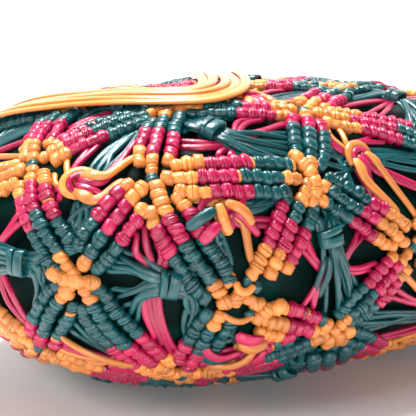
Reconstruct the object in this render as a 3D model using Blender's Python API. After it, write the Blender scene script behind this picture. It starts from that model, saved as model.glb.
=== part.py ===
"""Macrame handbag lying on one wall, its mouth at the back, +Z up, in metres.

The knotted net is a lattice of ridged bars that meet at crossings, with strands gathered
in a knot in the middle of each opening. It covers a plump cloth lining. Laces bind the
mouth, and a handle of parallel laces lies over the top.
"""

import math

import bmesh
import bpy
import numpy as np

# The form over the knotting: half sizes, height of the middle, and how full the corners are.
HALF_LENGTH = 0.164
HALF_DEPTH = 0.112
HALF_HEIGHT = 0.073
MIDDLE_HEIGHT = 0.071
MIDDLE_DEPTH = 0.0022
FULLNESS = 2.6
MIDDLE = np.array([0, MIDDLE_DEPTH, MIDDLE_HEIGHT])

# The lining lies this far inside the knotting's outer form.
NET_DEPTH = 0.008
LINING_WALL = 0.002
LINING_ROUND = 32
LINING_ALONG = 11

# The mouth is an oval opening in the back, level with the middle.
MOUTH_HALF_WIDTH = 0.100
MOUTH_HALF_HEIGHT = 0.027
NET_EDGE_OUT = 0.0218

# Knotted bars: three rows side by side, narrow where they meet. Heights are over the lining.
BAR_HALF_WIDTH = 0.0088
BAR_END_HALF_WIDTH = 0.0046
BAR_SWELL_LENGTH = 0.0160
BAR_FOOT = 0.0020
BAR_TOP = 0.0076
BAR_ARCH = 0.0006
BAR_CLEAR = 0.0022
RIDGES = 5
GROOVE = 0.84
ARM_LENGTH = 0.062
EDGE_SPACING = 0.047
PLAIN_STEP = 0.013

CROSSING_RADIUS = 0.0090
CROSSING_EDGE = 0.0072
CROSSING_TOP = 0.0082
OPEN_CORNER = math.radians(50)
NARROW_CORNER = math.radians(60)
BAR_LEAST_HALF_WIDTH = 0.0012
BESIDE = 0.0006

# Strands and the knots that gather them in the openings.
STRAND_HALF_WIDTH = 0.0018
STRAND_FOOT = 0.0022
STRAND_TOP = 0.0046
STRAND_STEP = 0.024
STRAND_CLEAR = 0.0050
KNOT_RADIUS = 0.0062
KNOT_LEAST_RADIUS = 0.0034
KNOT_FOOT = 0.0018
KNOT_EDGE = 0.0052
KNOT_TOP = 0.0066

# Where the corner and the top face: knots there are ridged, and plainer elsewhere.
SHOWN_SIDE = (-0.45, -0.80, 0.40)

GAP = 0.0003

# The part of the net that the bag rests on.
BASE_HALF_LENGTH = 0.070
BASE_HALF_DEPTH = 0.047

BINDING_FROM = 0.0008
BINDING_TO = 0.0112
BINDING_FOOT = 0.0005
BINDING_TOP = 0.0055
BINDING_STEPS = 44

HANDLE_HALF_WIDTH = 0.0110
HANDLE_THICKNESS = 0.0028
HANDLE_OVER_NET = 0.0091
HANDLE_OVER_BINDING = 0.0058
HANDLE_FLAT_END = 0.001
HANDLE_CLIMB = 0.006
HANDLE_STEPS = 60

# Crossings of the lattice that the corner shows: steps along each wall and the wall,
# then the turn from the front towards +X and the rise from the level, in degrees.
LATTICE_STEPS = 5
PLACED_CROSSINGS = {
    (0, 0, 0): (-36, -8),
    (0, 0, 1): (-40, -5),
    (0, 1, 0): (-23, 18),
    (0, 1, 1): (-53, 16),
    (0, 2, 0): (-17, 40),
    (0, 2, 1): (-59, 35),
    (0, 3, 0): (36, 55),
    (0, 3, 1): (-64, 73),
    (1, 0, 0): (-17, -17),
    (1, 0, 1): (-50, -22),
    (1, 1, 0): (5, 1),
    (1, 1, 1): (-62, 0),
    (1, 2, 0): (30, 19),
    (1, 2, 1): (-75, 16),
    (1, 3, 1): (-92, 31),
    (2, 1, 1): (-72, -13),
}
SETTLING_ROUNDS = 500
PULL = 0.16
FIRST_PULL = 0.6
LEAST_AND_MOST_STRETCH = (-0.5, 0.5)
OPENING_ACROSS = 1.35 * ARM_LENGTH
OPENING_PULL = 0.04
EDGE_SLIDE = 0.5
SLIDE_STEP = 1e-4
LINE_POINTS = 41
SMALL = 1e-9

# Where the crossings that aren't placed lie before they even out, from the lining's middle.
START_ASIDE = (0.02, 0.03)
START_BACK = (-0.06, 0.025)
START_UP = 0.04

# A cap's middle lies this far from its foot towards the middle of its ring.
CAP_RISE = 0.6

# Outlines of the pieces across their run: shares of the half width and of the height, from
# left to right. The binding's shares are of its width and its height.
RIDGED_BAR_OUTLINE = np.array([
    (-1, 0), (-0.76, 1), (-0.34, 0.72), (0, 1), (0.34, 0.72), (0.76, 1), (1, 0),
])
PLAIN_BAR_OUTLINE = np.array([(-1, 0), (-0.7, 1), (0.7, 1), (1, 0)])
BAND_OUTLINE = np.array([
    (0, 0), (-1, 0), (-1, 0.7), (-0.8, 1), (-0.2, 1), (0, 0.4), (0.2, 1), (0.8, 1),
    (1, 0.7), (1, 0),
])
BINDING_OUTLINE = np.array([
    (0, 0), (0, 0.6), (0.25, 1), (0.5, 0.7), (0.75, 1), (1, 0.6), (1, 0),
])

# The widest that a bar's foot takes of a crossing's rim.
WIDEST_FOOT = 0.95
# A direction that no crossing faces, from which angles round a crossing are counted.
COUNTED_FROM = np.array([0.3, 1.0, 0.2])

# The handle's course from the mouth's left over the top and back to the mouth's right: turn
# and rise in degrees, as above.
HANDLE_COURSE = [
    (-137.2, 6.0),
    (-130.6, 12.2),
    (-122.2, 18.0),
    (-115.0, 22.5),
    (-108.8, 25.4),
    (-101.6, 28.3),
    (-93.5, 31.1),
    (-83.3, 34.0),
    (-72.8, 36.3),
    (-61.6, 38.4),
    (-52.5, 41.2),
    (-48.4, 47.2),
    (-51.6, 56.6),
    (-67.0, 68.1),
    (-119.1, 76.1),
    (-173.4, 68.0),
    (167.1, 54.2),
    (156.5, 41.8),
    (150.7, 30.9),
    (147.5, 21.1),
    (146.6, 10.3),
]

TEAL = (0.02, 0.14, 0.16, 1)
MAGENTA = (0.55, 0.02, 0.15, 1)
ORANGE = (0.85, 0.33, 0.05, 1)
LINING_GREEN = (0.01, 0.11, 0.09, 1)
LACE_ROUGHNESS = 0.35
SATIN_ROUGHNESS = 0.40


def clear_scene():
    for obj in list(bpy.data.objects):
        bpy.data.objects.remove(obj, do_unlink=True)


def material(name, colour, roughness):
    made = bpy.data.materials.new(name)
    made.use_nodes = True
    shader = made.node_tree.nodes["Principled BSDF"]
    shader.inputs["Base Color"].default_value = colour
    shader.inputs["Roughness"].default_value = roughness
    shader.inputs["Metallic"].default_value = 0
    return made


def unit(vectors):
    return vectors / np.linalg.norm(vectors, axis=-1, keepdims=True)


def reach(directions, lift):
    """Distance from the middle of the bag to a surface that lies lift above the lining."""
    grow = np.asarray(lift) - NET_DEPTH
    across, deep, high = (np.abs(directions[..., axis]) for axis in range(3))
    full = (across / (HALF_LENGTH + grow)) ** FULLNESS
    full = full + (deep / (HALF_DEPTH + grow)) ** FULLNESS
    full = full + (high / (HALF_HEIGHT + grow)) ** FULLNESS
    down = np.maximum(-directions[..., 2], SMALL)
    return np.minimum(full ** (-1 / FULLNESS), (MIDDLE_HEIGHT + grow) / down)


def place(directions, lift):
    """Points over the bag in these directions from its middle, lift above the lining."""
    return MIDDLE + directions * reach(directions, lift)[..., None]


def direction_of(points):
    return unit(points - MIDDLE)


def outward(points):
    """Outward normals of the bag's form at points near its surface."""
    offset = points - MIDDLE
    sizes = np.array([HALF_LENGTH, HALF_DEPTH, HALF_HEIGHT])
    slope = np.sign(offset) * np.abs(offset / sizes) ** (FULLNESS - 1) / sizes
    return unit(slope)


def turned(turn, rise):
    """Direction from the middle, from a turn and a rise in degrees."""
    turn, rise = math.radians(turn), math.radians(rise)
    flat = math.cos(rise)
    return np.array([math.sin(turn) * flat, -math.cos(turn) * flat, math.sin(rise)])


def on_oval(angles, grown, lift):
    """Points round the mouth, on an oval grown evenly beyond its edge."""
    angles = np.asarray(angles, float)
    x = (MOUTH_HALF_WIDTH + grown) * np.cos(angles)
    z = (MOUTH_HALF_HEIGHT + grown) * np.sin(angles)
    grow = np.asarray(lift) - NET_DEPTH
    left = (
        1
        - np.abs(x / (HALF_LENGTH + grow)) ** FULLNESS
        - np.abs(z / (HALF_HEIGHT + grow)) ** FULLNESS
    )
    y = (HALF_DEPTH + grow) * left ** (1 / FULLNESS)
    return MIDDLE + np.stack([x, y, z], axis=-1)


def lattice():
    """Crossings, bars and openings of the net.

    Two walls of steps share a band one step wide that runs round the bag's front corner.
    The last crossings lie round the mouth.
    """
    steps = range(LATTICE_STEPS + 1)
    crossings = [
        (i, j, wall) for wall in (0, 1) for i in steps for j in steps
        if i + j <= LATTICE_STEPS
    ]
    known = set(crossings)
    bars, openings = [], []
    for i, j, wall in crossings:
        for end in ((i + 1, j, wall), (i, j + 1, wall)):
            if end in known:
                bars.append(((i, j, wall), end))
        corners = [(i, j, wall), (i + 1, j, wall), (i + 1, j + 1, wall), (i, j + 1, wall)]
        if known.issuperset(corners):
            openings.append(corners)
    for step in steps[1:]:
        for here, before in (((step, 0), (step - 1, 0)), ((0, step), (0, step - 1))):
            bars.append(((*here, 0), (*here, 1)))
            openings.append([(*before, 0), (*here, 0), (*here, 1), (*before, 1)])
    return crossings, bars, openings


def edge_order():
    """The last crossings in their order round the mouth, from the lower lip's middle."""
    steps = range(LATTICE_STEPS + 1)
    right = [(LATTICE_STEPS - j, j, 0) for j in steps]
    left = [(i, LATTICE_STEPS - i, 1) for i in steps]
    return right + left


def settled_places(crossings, bars, openings):
    """Directions of all crossings: the placed ones stay, and the others even out."""
    number = {crossing: n for n, crossing in enumerate(crossings)}
    edge = [number[crossing] for crossing in edge_order()]
    placed = [number[crossing] for crossing in PLACED_CROSSINGS]
    free = [n for n in range(len(crossings)) if n not in edge and n not in placed]
    angles = -math.pi / 2 + (np.arange(len(edge)) + 0.5) * 2 * math.pi / len(edge)

    points = np.zeros((len(crossings), 3))
    points[placed] = place(np.array([turned(*at) for at in PLACED_CROSSINGS.values()]), 0)
    points[edge] = on_oval(angles, NET_EDGE_OUT, 0)
    for n in free:
        i, j, wall = crossings[n]
        side = 1 if wall == 0 else -1
        aside = side * (START_ASIDE[0] + START_ASIDE[1] * min(i, j))
        start = (aside, START_BACK[0] + START_BACK[1] * (i + j), START_UP * (j - i))
        points[n] = place(unit(np.array(start)), 0)

    pairs = [(number[a], number[b], ARM_LENGTH, PULL) for a, b in bars]
    for a, b, c, d in openings:
        for one, other in ((a, c), (b, d)):
            pairs.append((number[one], number[other], OPENING_ACROSS, OPENING_PULL))
    pairs += [(a, b, EDGE_SPACING, PULL) for a, b in zip(edge, edge[1:] + edge[:1])]
    one, other, length, pull = (np.array(column) for column in zip(*pairs))
    for turn in range(SETTLING_ROUNDS):
        apart = points[other] - points[one]
        now = np.linalg.norm(apart, axis=1)
        step = apart * (pull * np.clip(now / length - 1, *LEAST_AND_MOST_STRETCH))[:, None]
        if turn < SETTLING_ROUNDS // 5:
            step = apart * (pull * FIRST_PULL)[:, None]
        move = np.zeros_like(points)
        np.add.at(move, one, step)
        np.add.at(move, other, -step)
        points[free] = place(direction_of(points[free] + move[free]), 0)
        slide = on_oval(angles + SLIDE_STEP, NET_EDGE_OUT, 0) - on_oval(angles, NET_EDGE_OUT, 0)
        slide = slide / SLIDE_STEP
        angles = angles + EDGE_SLIDE * (move[edge] * slide).sum(axis=1) / (slide**2).sum(axis=1)
        points[edge] = on_oval(angles, NET_EDGE_OUT, 0)
    return {crossing: direction_of(points[n]) for crossing, n in number.items()}


def is_shown(direction):
    return float(outward(place(direction, 0)) @ np.array(SHOWN_SIDE)) > 0


def swept(rings, closed=False, feet=(0, -1)):
    """A solid through rings of points; feet are the points at the ring's two lower corners."""
    solid = Solid()
    loops = [solid.add_points(ring) for ring in rings]
    for here, after in zip(loops, loops[1:]):
        solid.join_loops(here, after)
    if closed:
        solid.join_loops(loops[-1], loops[0])
    else:
        solid.close_loop(loops[0], feet)
        solid.close_loop(loops[-1], feet)
    return solid


class Solid:
    """Vertices and triangles of one solid."""

    def __init__(self):
        self.points = []
        self.faces = []

    def add_points(self, points):
        first = len(self.points)
        self.points += [tuple(point) for point in points]
        return list(range(first, len(self.points)))

    def join_loops(self, here, after):
        """Joins two loops that start and end side by side, whatever their counts."""
        a, b = 0, 0
        while a < len(here) - 1 or b < len(after) - 1:
            step_here = (a + 1) / (len(here) - 1)
            step_after = (b + 1) / (len(after) - 1)
            if a < len(here) - 1 and step_here <= step_after + SMALL:
                self.faces.append((here[a], here[a + 1], after[b]))
                a += 1
            else:
                self.faces.append((here[a], after[b + 1], after[b]))
                b += 1
        self.faces.append((here[-1], here[0], after[0]))
        self.faces.append((here[-1], after[0], after[-1]))

    def close_loop(self, loop, feet=(0, -1)):
        """Caps a loop with a fan from a point low between its two feet."""
        corners = np.array([self.points[n] for n in loop])
        low = (corners[feet[0]] + corners[feet[1]]) / 2
        middle = self.add_points([low + (corners.mean(axis=0) - low) * CAP_RISE])[0]
        for n, corner in enumerate(loop):
            self.faces.append((corner, loop[(n + 1) % len(loop)], middle))


def line_between(start, end):
    """A line over the lining between two directions."""
    parts = np.linspace(0, 1, LINE_POINTS)[:, None]
    return place(unit(start * (1 - parts) + end * parts), 0)


def room_beside(points, line):
    """The least distance from each point to a line."""
    return np.linalg.norm(points[:, None] - line, axis=-1).min(axis=1)


def walked(line):
    return np.append(0, np.linalg.norm(np.diff(line, axis=0), axis=1).cumsum())


def at_distances(line, distances):
    lengths = walked(line)
    return np.stack([np.interp(distances, lengths, line[:, axis]) for axis in range(3)], axis=-1)


def rings_along(line, distances, sections):
    """Rings over the surface at distances along a line.

    Each section holds points as distance across the line, from left to right, and height
    over the lining.
    """
    centres = at_distances(line, distances)
    step = STRAND_HALF_WIDTH
    ahead = at_distances(line, distances + step) - at_distances(line, distances - step)
    across = unit(np.cross(ahead, outward(centres)))
    beside = centres[:, None] + across[:, None] * sections[..., :1]
    return place(direction_of(beside), sections[..., 1])


def arch_at(points):
    """How much of its arch a bar has: none where it lies under the bag."""
    return np.clip(1 + 2 * outward(points)[:, 2], 0, 1)


def bar_sections(line, distances, shown, most):
    """Outlines of a bar of three rows of knots, ridged across where it is shown.

    Its half width is at most what the strands and bars beside it leave.
    """
    length = walked(line)[-1]
    ends = np.minimum(distances, length - distances)
    swell = np.clip((ends - CROSSING_RADIUS) / BAR_SWELL_LENGTH, 0, 1)
    half = BAR_END_HALF_WIDTH + (BAR_HALF_WIDTH - BAR_END_HALF_WIDTH) * swell
    half = np.minimum(half, np.maximum(most, BAR_LEAST_HALF_WIDTH))
    tall = BAR_TOP - BAR_FOOT
    arch = np.zeros(len(distances))
    if shown:
        ridge = np.where(np.arange(len(distances)) % 2, GROOVE, 1.0)
        tall = tall * ridge
        half = half * (0.5 + 0.5 * ridge)
        outline = RIDGED_BAR_OUTLINE
        middle = np.sin(np.pi * distances / length)
        arch = BAR_ARCH * middle * arch_at(at_distances(line, distances))
    else:
        outline = PLAIN_BAR_OUTLINE
    sections = np.empty((len(distances), len(outline), 2))
    sections[..., 0] = outline[:, 0] * half[:, None]
    sections[..., 1] = BAR_FOOT + arch[:, None] + outline[:, 1] * np.reshape(tall, (-1, 1))
    return sections


def strand_sections(distances):
    section = np.array([
        (-STRAND_HALF_WIDTH, STRAND_FOOT), (0, STRAND_TOP), (STRAND_HALF_WIDTH, STRAND_FOOT),
    ])
    return np.tile(section, (len(distances), 1, 1))


def net_graph():
    """Directions of the crossings and centre knots, and the links between them.

    A link is its start, its end, and whether it is a bar. The two crossings at the front
    corner are one cluster, and a narrow corner of an opening has no strand.
    """
    crossings, bars, openings = lattice()
    where = settled_places(crossings, bars, openings)
    cluster, joined = (0, 0, 0), (0, 0, 1)
    where[cluster] = unit(where[cluster] + where.pop(joined))
    links = []
    for bar in bars:
        start, end = (cluster if at == joined else at for at in bar)
        if start != end:
            links.append((start, end, True))
    for n, corners in enumerate(openings):
        corners = [cluster if at == joined else at for at in corners]
        knot = ("knot", n)
        where[knot] = direction_of(sum(place(where[at], 0) for at in corners) / len(corners))
        corners = list(dict.fromkeys(corners))
        places = np.array([place(where[at], 0) for at in corners])
        for side, corner in enumerate(corners):
            before = unit(places[side - 1] - places[side])
            after = unit(places[(side + 1) % len(corners)] - places[side])
            if before @ after < math.cos(NARROW_CORNER):
                links.append((corner, knot, False))
    return where, links


def is_knot(node):
    return node[0] == "knot"


def ports_round(spokes, radius):
    """Angles of the corners round a crossing or knot, and each link's pair of them.

    A spoke is an angle and a half width. Links share a corner where they leave close
    together, and there is a wall between them where the net is open.
    """
    order = sorted(range(len(spokes)), key=lambda n: spokes[n][0])
    half = {n: math.asin(min(WIDEST_FOOT, spokes[n][1] / radius)) for n in order}
    angles, starts, ends = [], {}, {}
    for place_in_order, n in enumerate(order):
        after = order[(place_in_order + 1) % len(order)]
        between = (spokes[after][0] - spokes[n][0]) % (2 * math.pi) or 2 * math.pi
        spare = between - half[n] - half[after]
        if spare > OPEN_CORNER:
            walls = int(spare // OPEN_CORNER) + 1
            ends[n] = len(angles)
            first = spokes[n][0] + half[n]
            angles += [first + spare * step / walls for step in range(walls + 1)]
            starts[after] = len(angles) - 1
        else:
            ends[n] = starts[after] = len(angles)
            angles.append(spokes[n][0] + between * half[n] / (half[n] + half[after]))
    return angles, [(starts[n], ends[n]) for n in range(len(spokes))]


def rests(direction):
    """Whether a crossing or knot is in the part of the net that the bag rests on."""
    x, y, z = place(direction, 0)
    return z < MIDDLE_HEIGHT / 2 and (x / BASE_HALF_LENGTH) ** 2 + (y / BASE_HALF_DEPTH) ** 2 < 1


def parting_distance(line):
    """Where a line leaves the oval round the part of the net that the bag rests on."""
    outside = (line[:, 0] / BASE_HALF_LENGTH) ** 2 + (line[:, 1] / BASE_HALF_DEPTH) ** 2 - 1
    crossing = int(np.argmax(np.diff(np.sign(outside)) != 0))
    lengths = walked(line)
    part = outside[crossing] / (outside[crossing] - outside[crossing + 1])
    return lengths[crossing] + part * (lengths[crossing + 1] - lengths[crossing])


def net_solids():
    """The net in its two parts: round the bag, and under it."""
    where, links = net_graph()
    lines = [line_between(where[start], where[end]) for start, end, _ in links]
    radius = {node: CROSSING_RADIUS for node in where}
    for node in filter(is_knot, where):
        centre = place(where[node], 0)[None]
        room = min(room_beside(centre, lines[n])[0] for n, link in enumerate(links) if link[2])
        radius[node] = min(KNOT_RADIUS, max(room - BAR_HALF_WIDTH - BESIDE, KNOT_LEAST_RADIUS))
    solids = {False: Solid(), True: Solid()}
    ports = {}
    for node, direction in where.items():
        solid = solids[rests(direction)]
        centre = place(direction, 0)
        up = outward(centre)
        first = unit(np.cross(up, COUNTED_FROM))
        second = np.cross(up, first)
        mine, spokes = [], []
        for n, (start, end, is_bar) in enumerate(links):
            for tail, line in ((0, lines[n]), (1, lines[n][::-1])):
                if (start, end)[tail] == node:
                    towards = at_distances(line, radius[node]) - centre
                    angle = math.atan2(towards @ second, towards @ first)
                    mine.append((n, tail))
                    spokes.append((angle, BAR_END_HALF_WIDTH if is_bar else STRAND_HALF_WIDTH))
        angles, pairs = ports_round(spokes, radius[node])
        spread = np.array([first * math.cos(a) + second * math.sin(a) for a in angles])
        rim = direction_of(centre + spread * radius[node])
        if is_knot(node):
            foot, edge, top = KNOT_FOOT, KNOT_EDGE, KNOT_TOP
        elif is_shown(direction):
            foot, edge, top = BAR_FOOT, CROSSING_EDGE, CROSSING_TOP
        elif rests(direction):
            foot, edge, top = BAR_FOOT, NET_DEPTH, NET_DEPTH
        else:
            foot, edge, top = BAR_FOOT, NET_DEPTH - GAP, NET_DEPTH - GAP
        low = solid.add_points(place(rim, foot))
        high = solid.add_points(place(rim, edge))
        low_middle = solid.add_points([place(direction, foot)])[0]
        high_middle = solid.add_points([place(direction, top)])[0]
        taken = set()
        for (n, tail), (start, end) in zip(mine, pairs):
            left, right = (end, start) if tail == 0 else (start, end)
            ports[n, tail] = [low[left], high[left], high[right], low[right]]
            taken.add(start)
        for n in range(len(angles)):
            after = (n + 1) % len(angles)
            solid.faces.append((high_middle, high[n], high[after]))
            solid.faces.append((low_middle, low[after], low[n]))
            if n not in taken:
                solid.faces.append((low[n], low[after], high[after]))
                solid.faces.append((low[n], high[after], high[n]))

    for n, (start, end, is_bar) in enumerate(links):
        line = lines[n]
        length = walked(line)[-1]
        shown = is_bar and is_shown(direction_of(at_distances(line, length / 2)))
        steps = max(1, int(length / STRAND_STEP))
        if is_bar:
            steps = 2 * RIDGES if shown else max(2, int(length / PLAIN_STEP))
        spare = length - radius[start] - radius[end]
        clear = min(BAR_CLEAR if is_bar else STRAND_CLEAR, spare / 4)
        run = (radius[start] + clear, length - radius[end] - clear)
        inside = rests(where[start]), rests(where[end])
        if inside[0] == inside[1]:
            runs = [(run, steps, ports[n, 0], ports[n, 1], inside[0])]
        else:
            cut = min(max(parting_distance(line), run[0] + BAR_CLEAR), run[1] - BAR_CLEAR)
            before = max(1, int((cut - run[0]) / PLAIN_STEP))
            after = max(1, int((run[1] - cut) / PLAIN_STEP))
            runs = [
                ((run[0], cut - GAP), before, ports[n, 0], None, inside[0]),
                ((cut + GAP, run[1]), after, None, ports[n, 1], inside[1]),
            ]
        for (near, far), count, first_port, last_port, under in runs:
            distances = np.linspace(near, far, count + 1)
            if is_bar:
                points = at_distances(line, distances)
                most = np.full(count + 1, BAR_HALF_WIDTH)
                for other, (_, _, other_is_bar) in enumerate(links):
                    if other != n and other_is_bar:
                        most = np.minimum(most, room_beside(points, lines[other]) / 2 - GAP)
                    elif other != n:
                        room = room_beside(points, lines[other]) - STRAND_HALF_WIDTH - BESIDE
                        most = np.minimum(most, room)
                sections = bar_sections(line, distances, shown, most)
            else:
                sections = strand_sections(distances)
            solid = solids[under]
            loops = [solid.add_points(ring) for ring in rings_along(line, distances, sections)]
            for here, after in zip(loops, loops[1:]):
                solid.join_loops(here, after)
            for port, loop, before in ((first_port, loops[0], True), (last_port, loops[-1], False)):
                if port is None:
                    solid.close_loop(loop)
                elif before:
                    solid.join_loops(port, loop)
                else:
                    solid.join_loops(loop, port)
    return solids[False], solids[True]


def mesh_object(name, solid):
    mesh = bpy.data.meshes.new(name)
    mesh.from_pydata(solid.points, [], solid.faces)
    work = bmesh.new()
    work.from_mesh(mesh)
    bmesh.ops.recalc_face_normals(work, faces=work.faces)
    work.to_mesh(mesh)
    work.free()
    obj = bpy.data.objects.new(name, mesh)
    bpy.context.collection.objects.link(obj)
    return obj


def binding_rings():
    """Rings of the laces round the mouth."""
    turns = np.arange(BINDING_STEPS) * 2 * math.pi / BINDING_STEPS
    width, height = BINDING_TO - BINDING_FROM, BINDING_TOP - BINDING_FOOT
    columns = [
        on_oval(turns, BINDING_FROM + width * out, BINDING_FOOT + height * up)
        for out, up in BINDING_OUTLINE
    ]
    return np.stack(columns, axis=1)


def smooth_line(places):
    """A smooth line over the lining through the places."""
    held = np.array([places[0] * 2 - places[1], *places, places[-1] * 2 - places[-2]])
    parts = np.linspace(0, len(places) - 1 - SMALL, LINE_POINTS * len(places))
    first = parts.astype(int)
    t = (parts - first)[:, None]
    a, b, c, d = (held[first + n] for n in range(4))
    line = (
        2 * b + (c - a) * t + (2 * a - 5 * b + 4 * c - d) * t**2 + (3 * (b - c) + d - a) * t**3
    ) / 2
    return place(direction_of(line), 0)


def handle_rings():
    """Rings of the flat band that lies over the net, its ends down on the binding."""
    line = smooth_line([place(turned(*at), 0) for at in HANDLE_COURSE])
    length = walked(line)[-1]
    distances = np.linspace(STRAND_HALF_WIDTH, length - STRAND_HALF_WIDTH, HANDLE_STEPS + 1)
    ends = np.minimum(distances, length - distances)
    climb = np.clip((ends - HANDLE_FLAT_END) / HANDLE_CLIMB, 0, 1)
    climb = climb * climb * (3 - 2 * climb)
    foot = HANDLE_OVER_BINDING + (HANDLE_OVER_NET - HANDLE_OVER_BINDING) * climb
    sections = np.empty((len(distances), len(BAND_OUTLINE), 2))
    sections[..., 0] = BAND_OUTLINE[:, 0] * HANDLE_HALF_WIDTH
    sections[..., 1] = foot[:, None] + BAND_OUTLINE[:, 1] * HANDLE_THICKNESS
    return rings_along(line, distances, sections)


def lining_piece():
    """The lining's shell: outer and inner skins joined round the mouth."""
    turns = np.arange(LINING_ROUND) * 2 * math.pi / LINING_ROUND
    skins = []
    for lift in (0.0, -LINING_WALL):
        edge = on_oval(turns, 0.0, lift)
        towards = direction_of(edge)
        tilt = np.arccos(towards[:, 1])
        round_axis = np.arctan2(towards[:, 2], towards[:, 0])
        skin = [edge]
        for n in range(1, LINING_ALONG):
            angle = tilt + (math.pi - tilt) * n / LINING_ALONG
            directions = np.stack([
                np.sin(angle) * np.cos(round_axis),
                np.cos(angle),
                np.sin(angle) * np.sin(round_axis),
            ], axis=-1)
            skin.append(place(directions, lift))
        skins.append(np.array(skin))
    outer, inner = skins
    solid = Solid()
    edges = []
    for skin, lift in ((outer, 0.0), (inner, -LINING_WALL)):
        loops = [solid.add_points(ring) for ring in skin]
        for here, after in zip(loops, loops[1:]):
            solid.join_loops(here, after)
        pole = solid.add_points([place(np.array([0.0, -1.0, 0.0]), lift)])[0]
        last = loops[-1]
        for n, corner in enumerate(last):
            solid.faces.append((corner, last[(n + 1) % len(last)], pole))
        edges.append(loops[0])
    solid.join_loops(*edges)
    return solid


def main():
    clear_scene()
    round_bag, under_bag = net_solids()
    body = mesh_object("macrame_body", round_bag)
    base = mesh_object("macrame_base", under_bag)
    binding = mesh_object("rim_binding", swept(binding_rings(), closed=True))
    handle = mesh_object("handle", swept(handle_rings(), feet=(1, -1)))
    lining = mesh_object("lining", lining_piece())

    teal = material("lace_teal", TEAL, LACE_ROUGHNESS)
    magenta = material("lace_magenta", MAGENTA, LACE_ROUGHNESS)
    orange = material("lace_orange", ORANGE, LACE_ROUGHNESS)
    green = material("lining_satin", LINING_GREEN, SATIN_ROUGHNESS)
    for solid, colour in (
        (body, teal),
        (base, magenta),
        (binding, orange),
        (handle, orange),
        (lining, green),
    ):
        solid.data.materials.append(colour)


if __name__ == "__main__":
    main()
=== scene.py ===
"""Looks of the macrame handbag: wrapped knots, loose laces, lining, floor, light and camera.

All lengths are in metres, in the frame of the solids. Lift is the height over the lining.
"""

import math
from collections import namedtuple

import bmesh
import bpy
import numpy as np
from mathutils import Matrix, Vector


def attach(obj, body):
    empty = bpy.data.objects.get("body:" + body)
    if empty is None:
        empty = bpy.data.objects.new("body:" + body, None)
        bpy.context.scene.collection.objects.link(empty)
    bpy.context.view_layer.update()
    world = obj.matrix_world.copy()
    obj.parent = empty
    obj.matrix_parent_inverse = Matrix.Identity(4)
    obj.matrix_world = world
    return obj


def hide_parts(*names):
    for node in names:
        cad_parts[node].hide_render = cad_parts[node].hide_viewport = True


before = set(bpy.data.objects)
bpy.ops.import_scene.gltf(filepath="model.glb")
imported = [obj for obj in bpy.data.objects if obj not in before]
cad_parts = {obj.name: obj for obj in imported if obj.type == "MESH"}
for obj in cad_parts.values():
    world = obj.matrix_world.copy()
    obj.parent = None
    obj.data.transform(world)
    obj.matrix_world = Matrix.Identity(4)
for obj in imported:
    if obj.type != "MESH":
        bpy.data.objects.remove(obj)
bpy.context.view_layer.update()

RNG = np.random.default_rng(11)
MM = 0.001
SMALL = 1e-9

# The bag's form, as in the solids.
HALF_LENGTH = 0.164
HALF_DEPTH = 0.112
HALF_HEIGHT = 0.073
MIDDLE_HEIGHT = 0.071
MIDDLE_DEPTH = 0.0022
FULLNESS = 2.6
MIDDLE = np.array([0, MIDDLE_DEPTH, MIDDLE_HEIGHT])
NET_DEPTH = 0.008
MOUTH_HALF_WIDTH = 0.100
MOUTH_HALF_HEIGHT = 0.027
NET_EDGE_OUT = 0.0218
ARM_LENGTH = 0.062
EDGE_SPACING = 0.047
BASE_HALF_LENGTH = 0.070
BASE_HALF_DEPTH = 0.047

# The lattice of the net, as in the solids: turn and rise of each placed crossing.
LATTICE_STEPS = 5
PLACED_CROSSINGS = {
    (0, 0, 0): (-36, -8),
    (0, 0, 1): (-40, -5),
    (0, 1, 0): (-23, 18),
    (0, 1, 1): (-53, 16),
    (0, 2, 0): (-17, 40),
    (0, 2, 1): (-59, 35),
    (0, 3, 0): (36, 55),
    (0, 3, 1): (-64, 73),
    (1, 0, 0): (-17, -17),
    (1, 0, 1): (-50, -22),
    (1, 1, 0): (5, 1),
    (1, 1, 1): (-62, 0),
    (1, 2, 0): (30, 19),
    (1, 2, 1): (-75, 16),
    (1, 3, 1): (-92, 31),
    (2, 1, 1): (-72, -13),
}
SETTLING_ROUNDS = 500
FIRST_ROUNDS = 100
PULL = 0.16
FIRST_PULL = 0.6
LEAST_AND_MOST_STRETCH = (-0.5, 0.5)
OPENING_ACROSS = 1.35 * ARM_LENGTH
OPENING_PULL = 0.04
EDGE_SLIDE = 0.5
SLIDE_STEP = 1e-4
START_ASIDE = (0.02, 0.03)
START_BACK = (-0.06, 0.025)
START_UP = 0.04
LINE_POINTS = 41

# Rows of wrapped knots: three beside each other in a bar.
ROW_STEP = 0.001
ROW_SPACING = 0.0059
ROW_SPACING_AT_X = 0.0052
ROW_SPACING_AT_CLUSTER = 0.0046
ROW_SWELL = 0.016
ROW_LIFT = 0.0050
OUTER_ROW_DROP = 0.0008
KNOT_HALF_ACROSS = 0.0031
KNOT_HALF_HIGH = 0.00275
KNOT_DROP = 0.0014
KNOT_SQUARE = 7.0
LACE_THICK = 0.0012
ROW_CLEAR = 0.0029
FROM_X_THROUGH = 0.0021
FROM_X_ABUTTING = 0.0038
FROM_X_OUTER = 0.0066
FROM_CLUSTER_THROUGH = 0.0002
FROM_CLUSTER_ABUTTING = 0.0036
FROM_CLUSTER_OUTER = 0.0050
CLUSTER_REACH = 0.0112
CORE_OUT = 0.0007
CORE_DOME = np.array([1.0, 0.7])
CORE_DOME_WIDTH = 0.75
CORE_SHARE = 0.74
STRAY_SHARE = 0.03
STRAY_GAP = 0.0010


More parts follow.
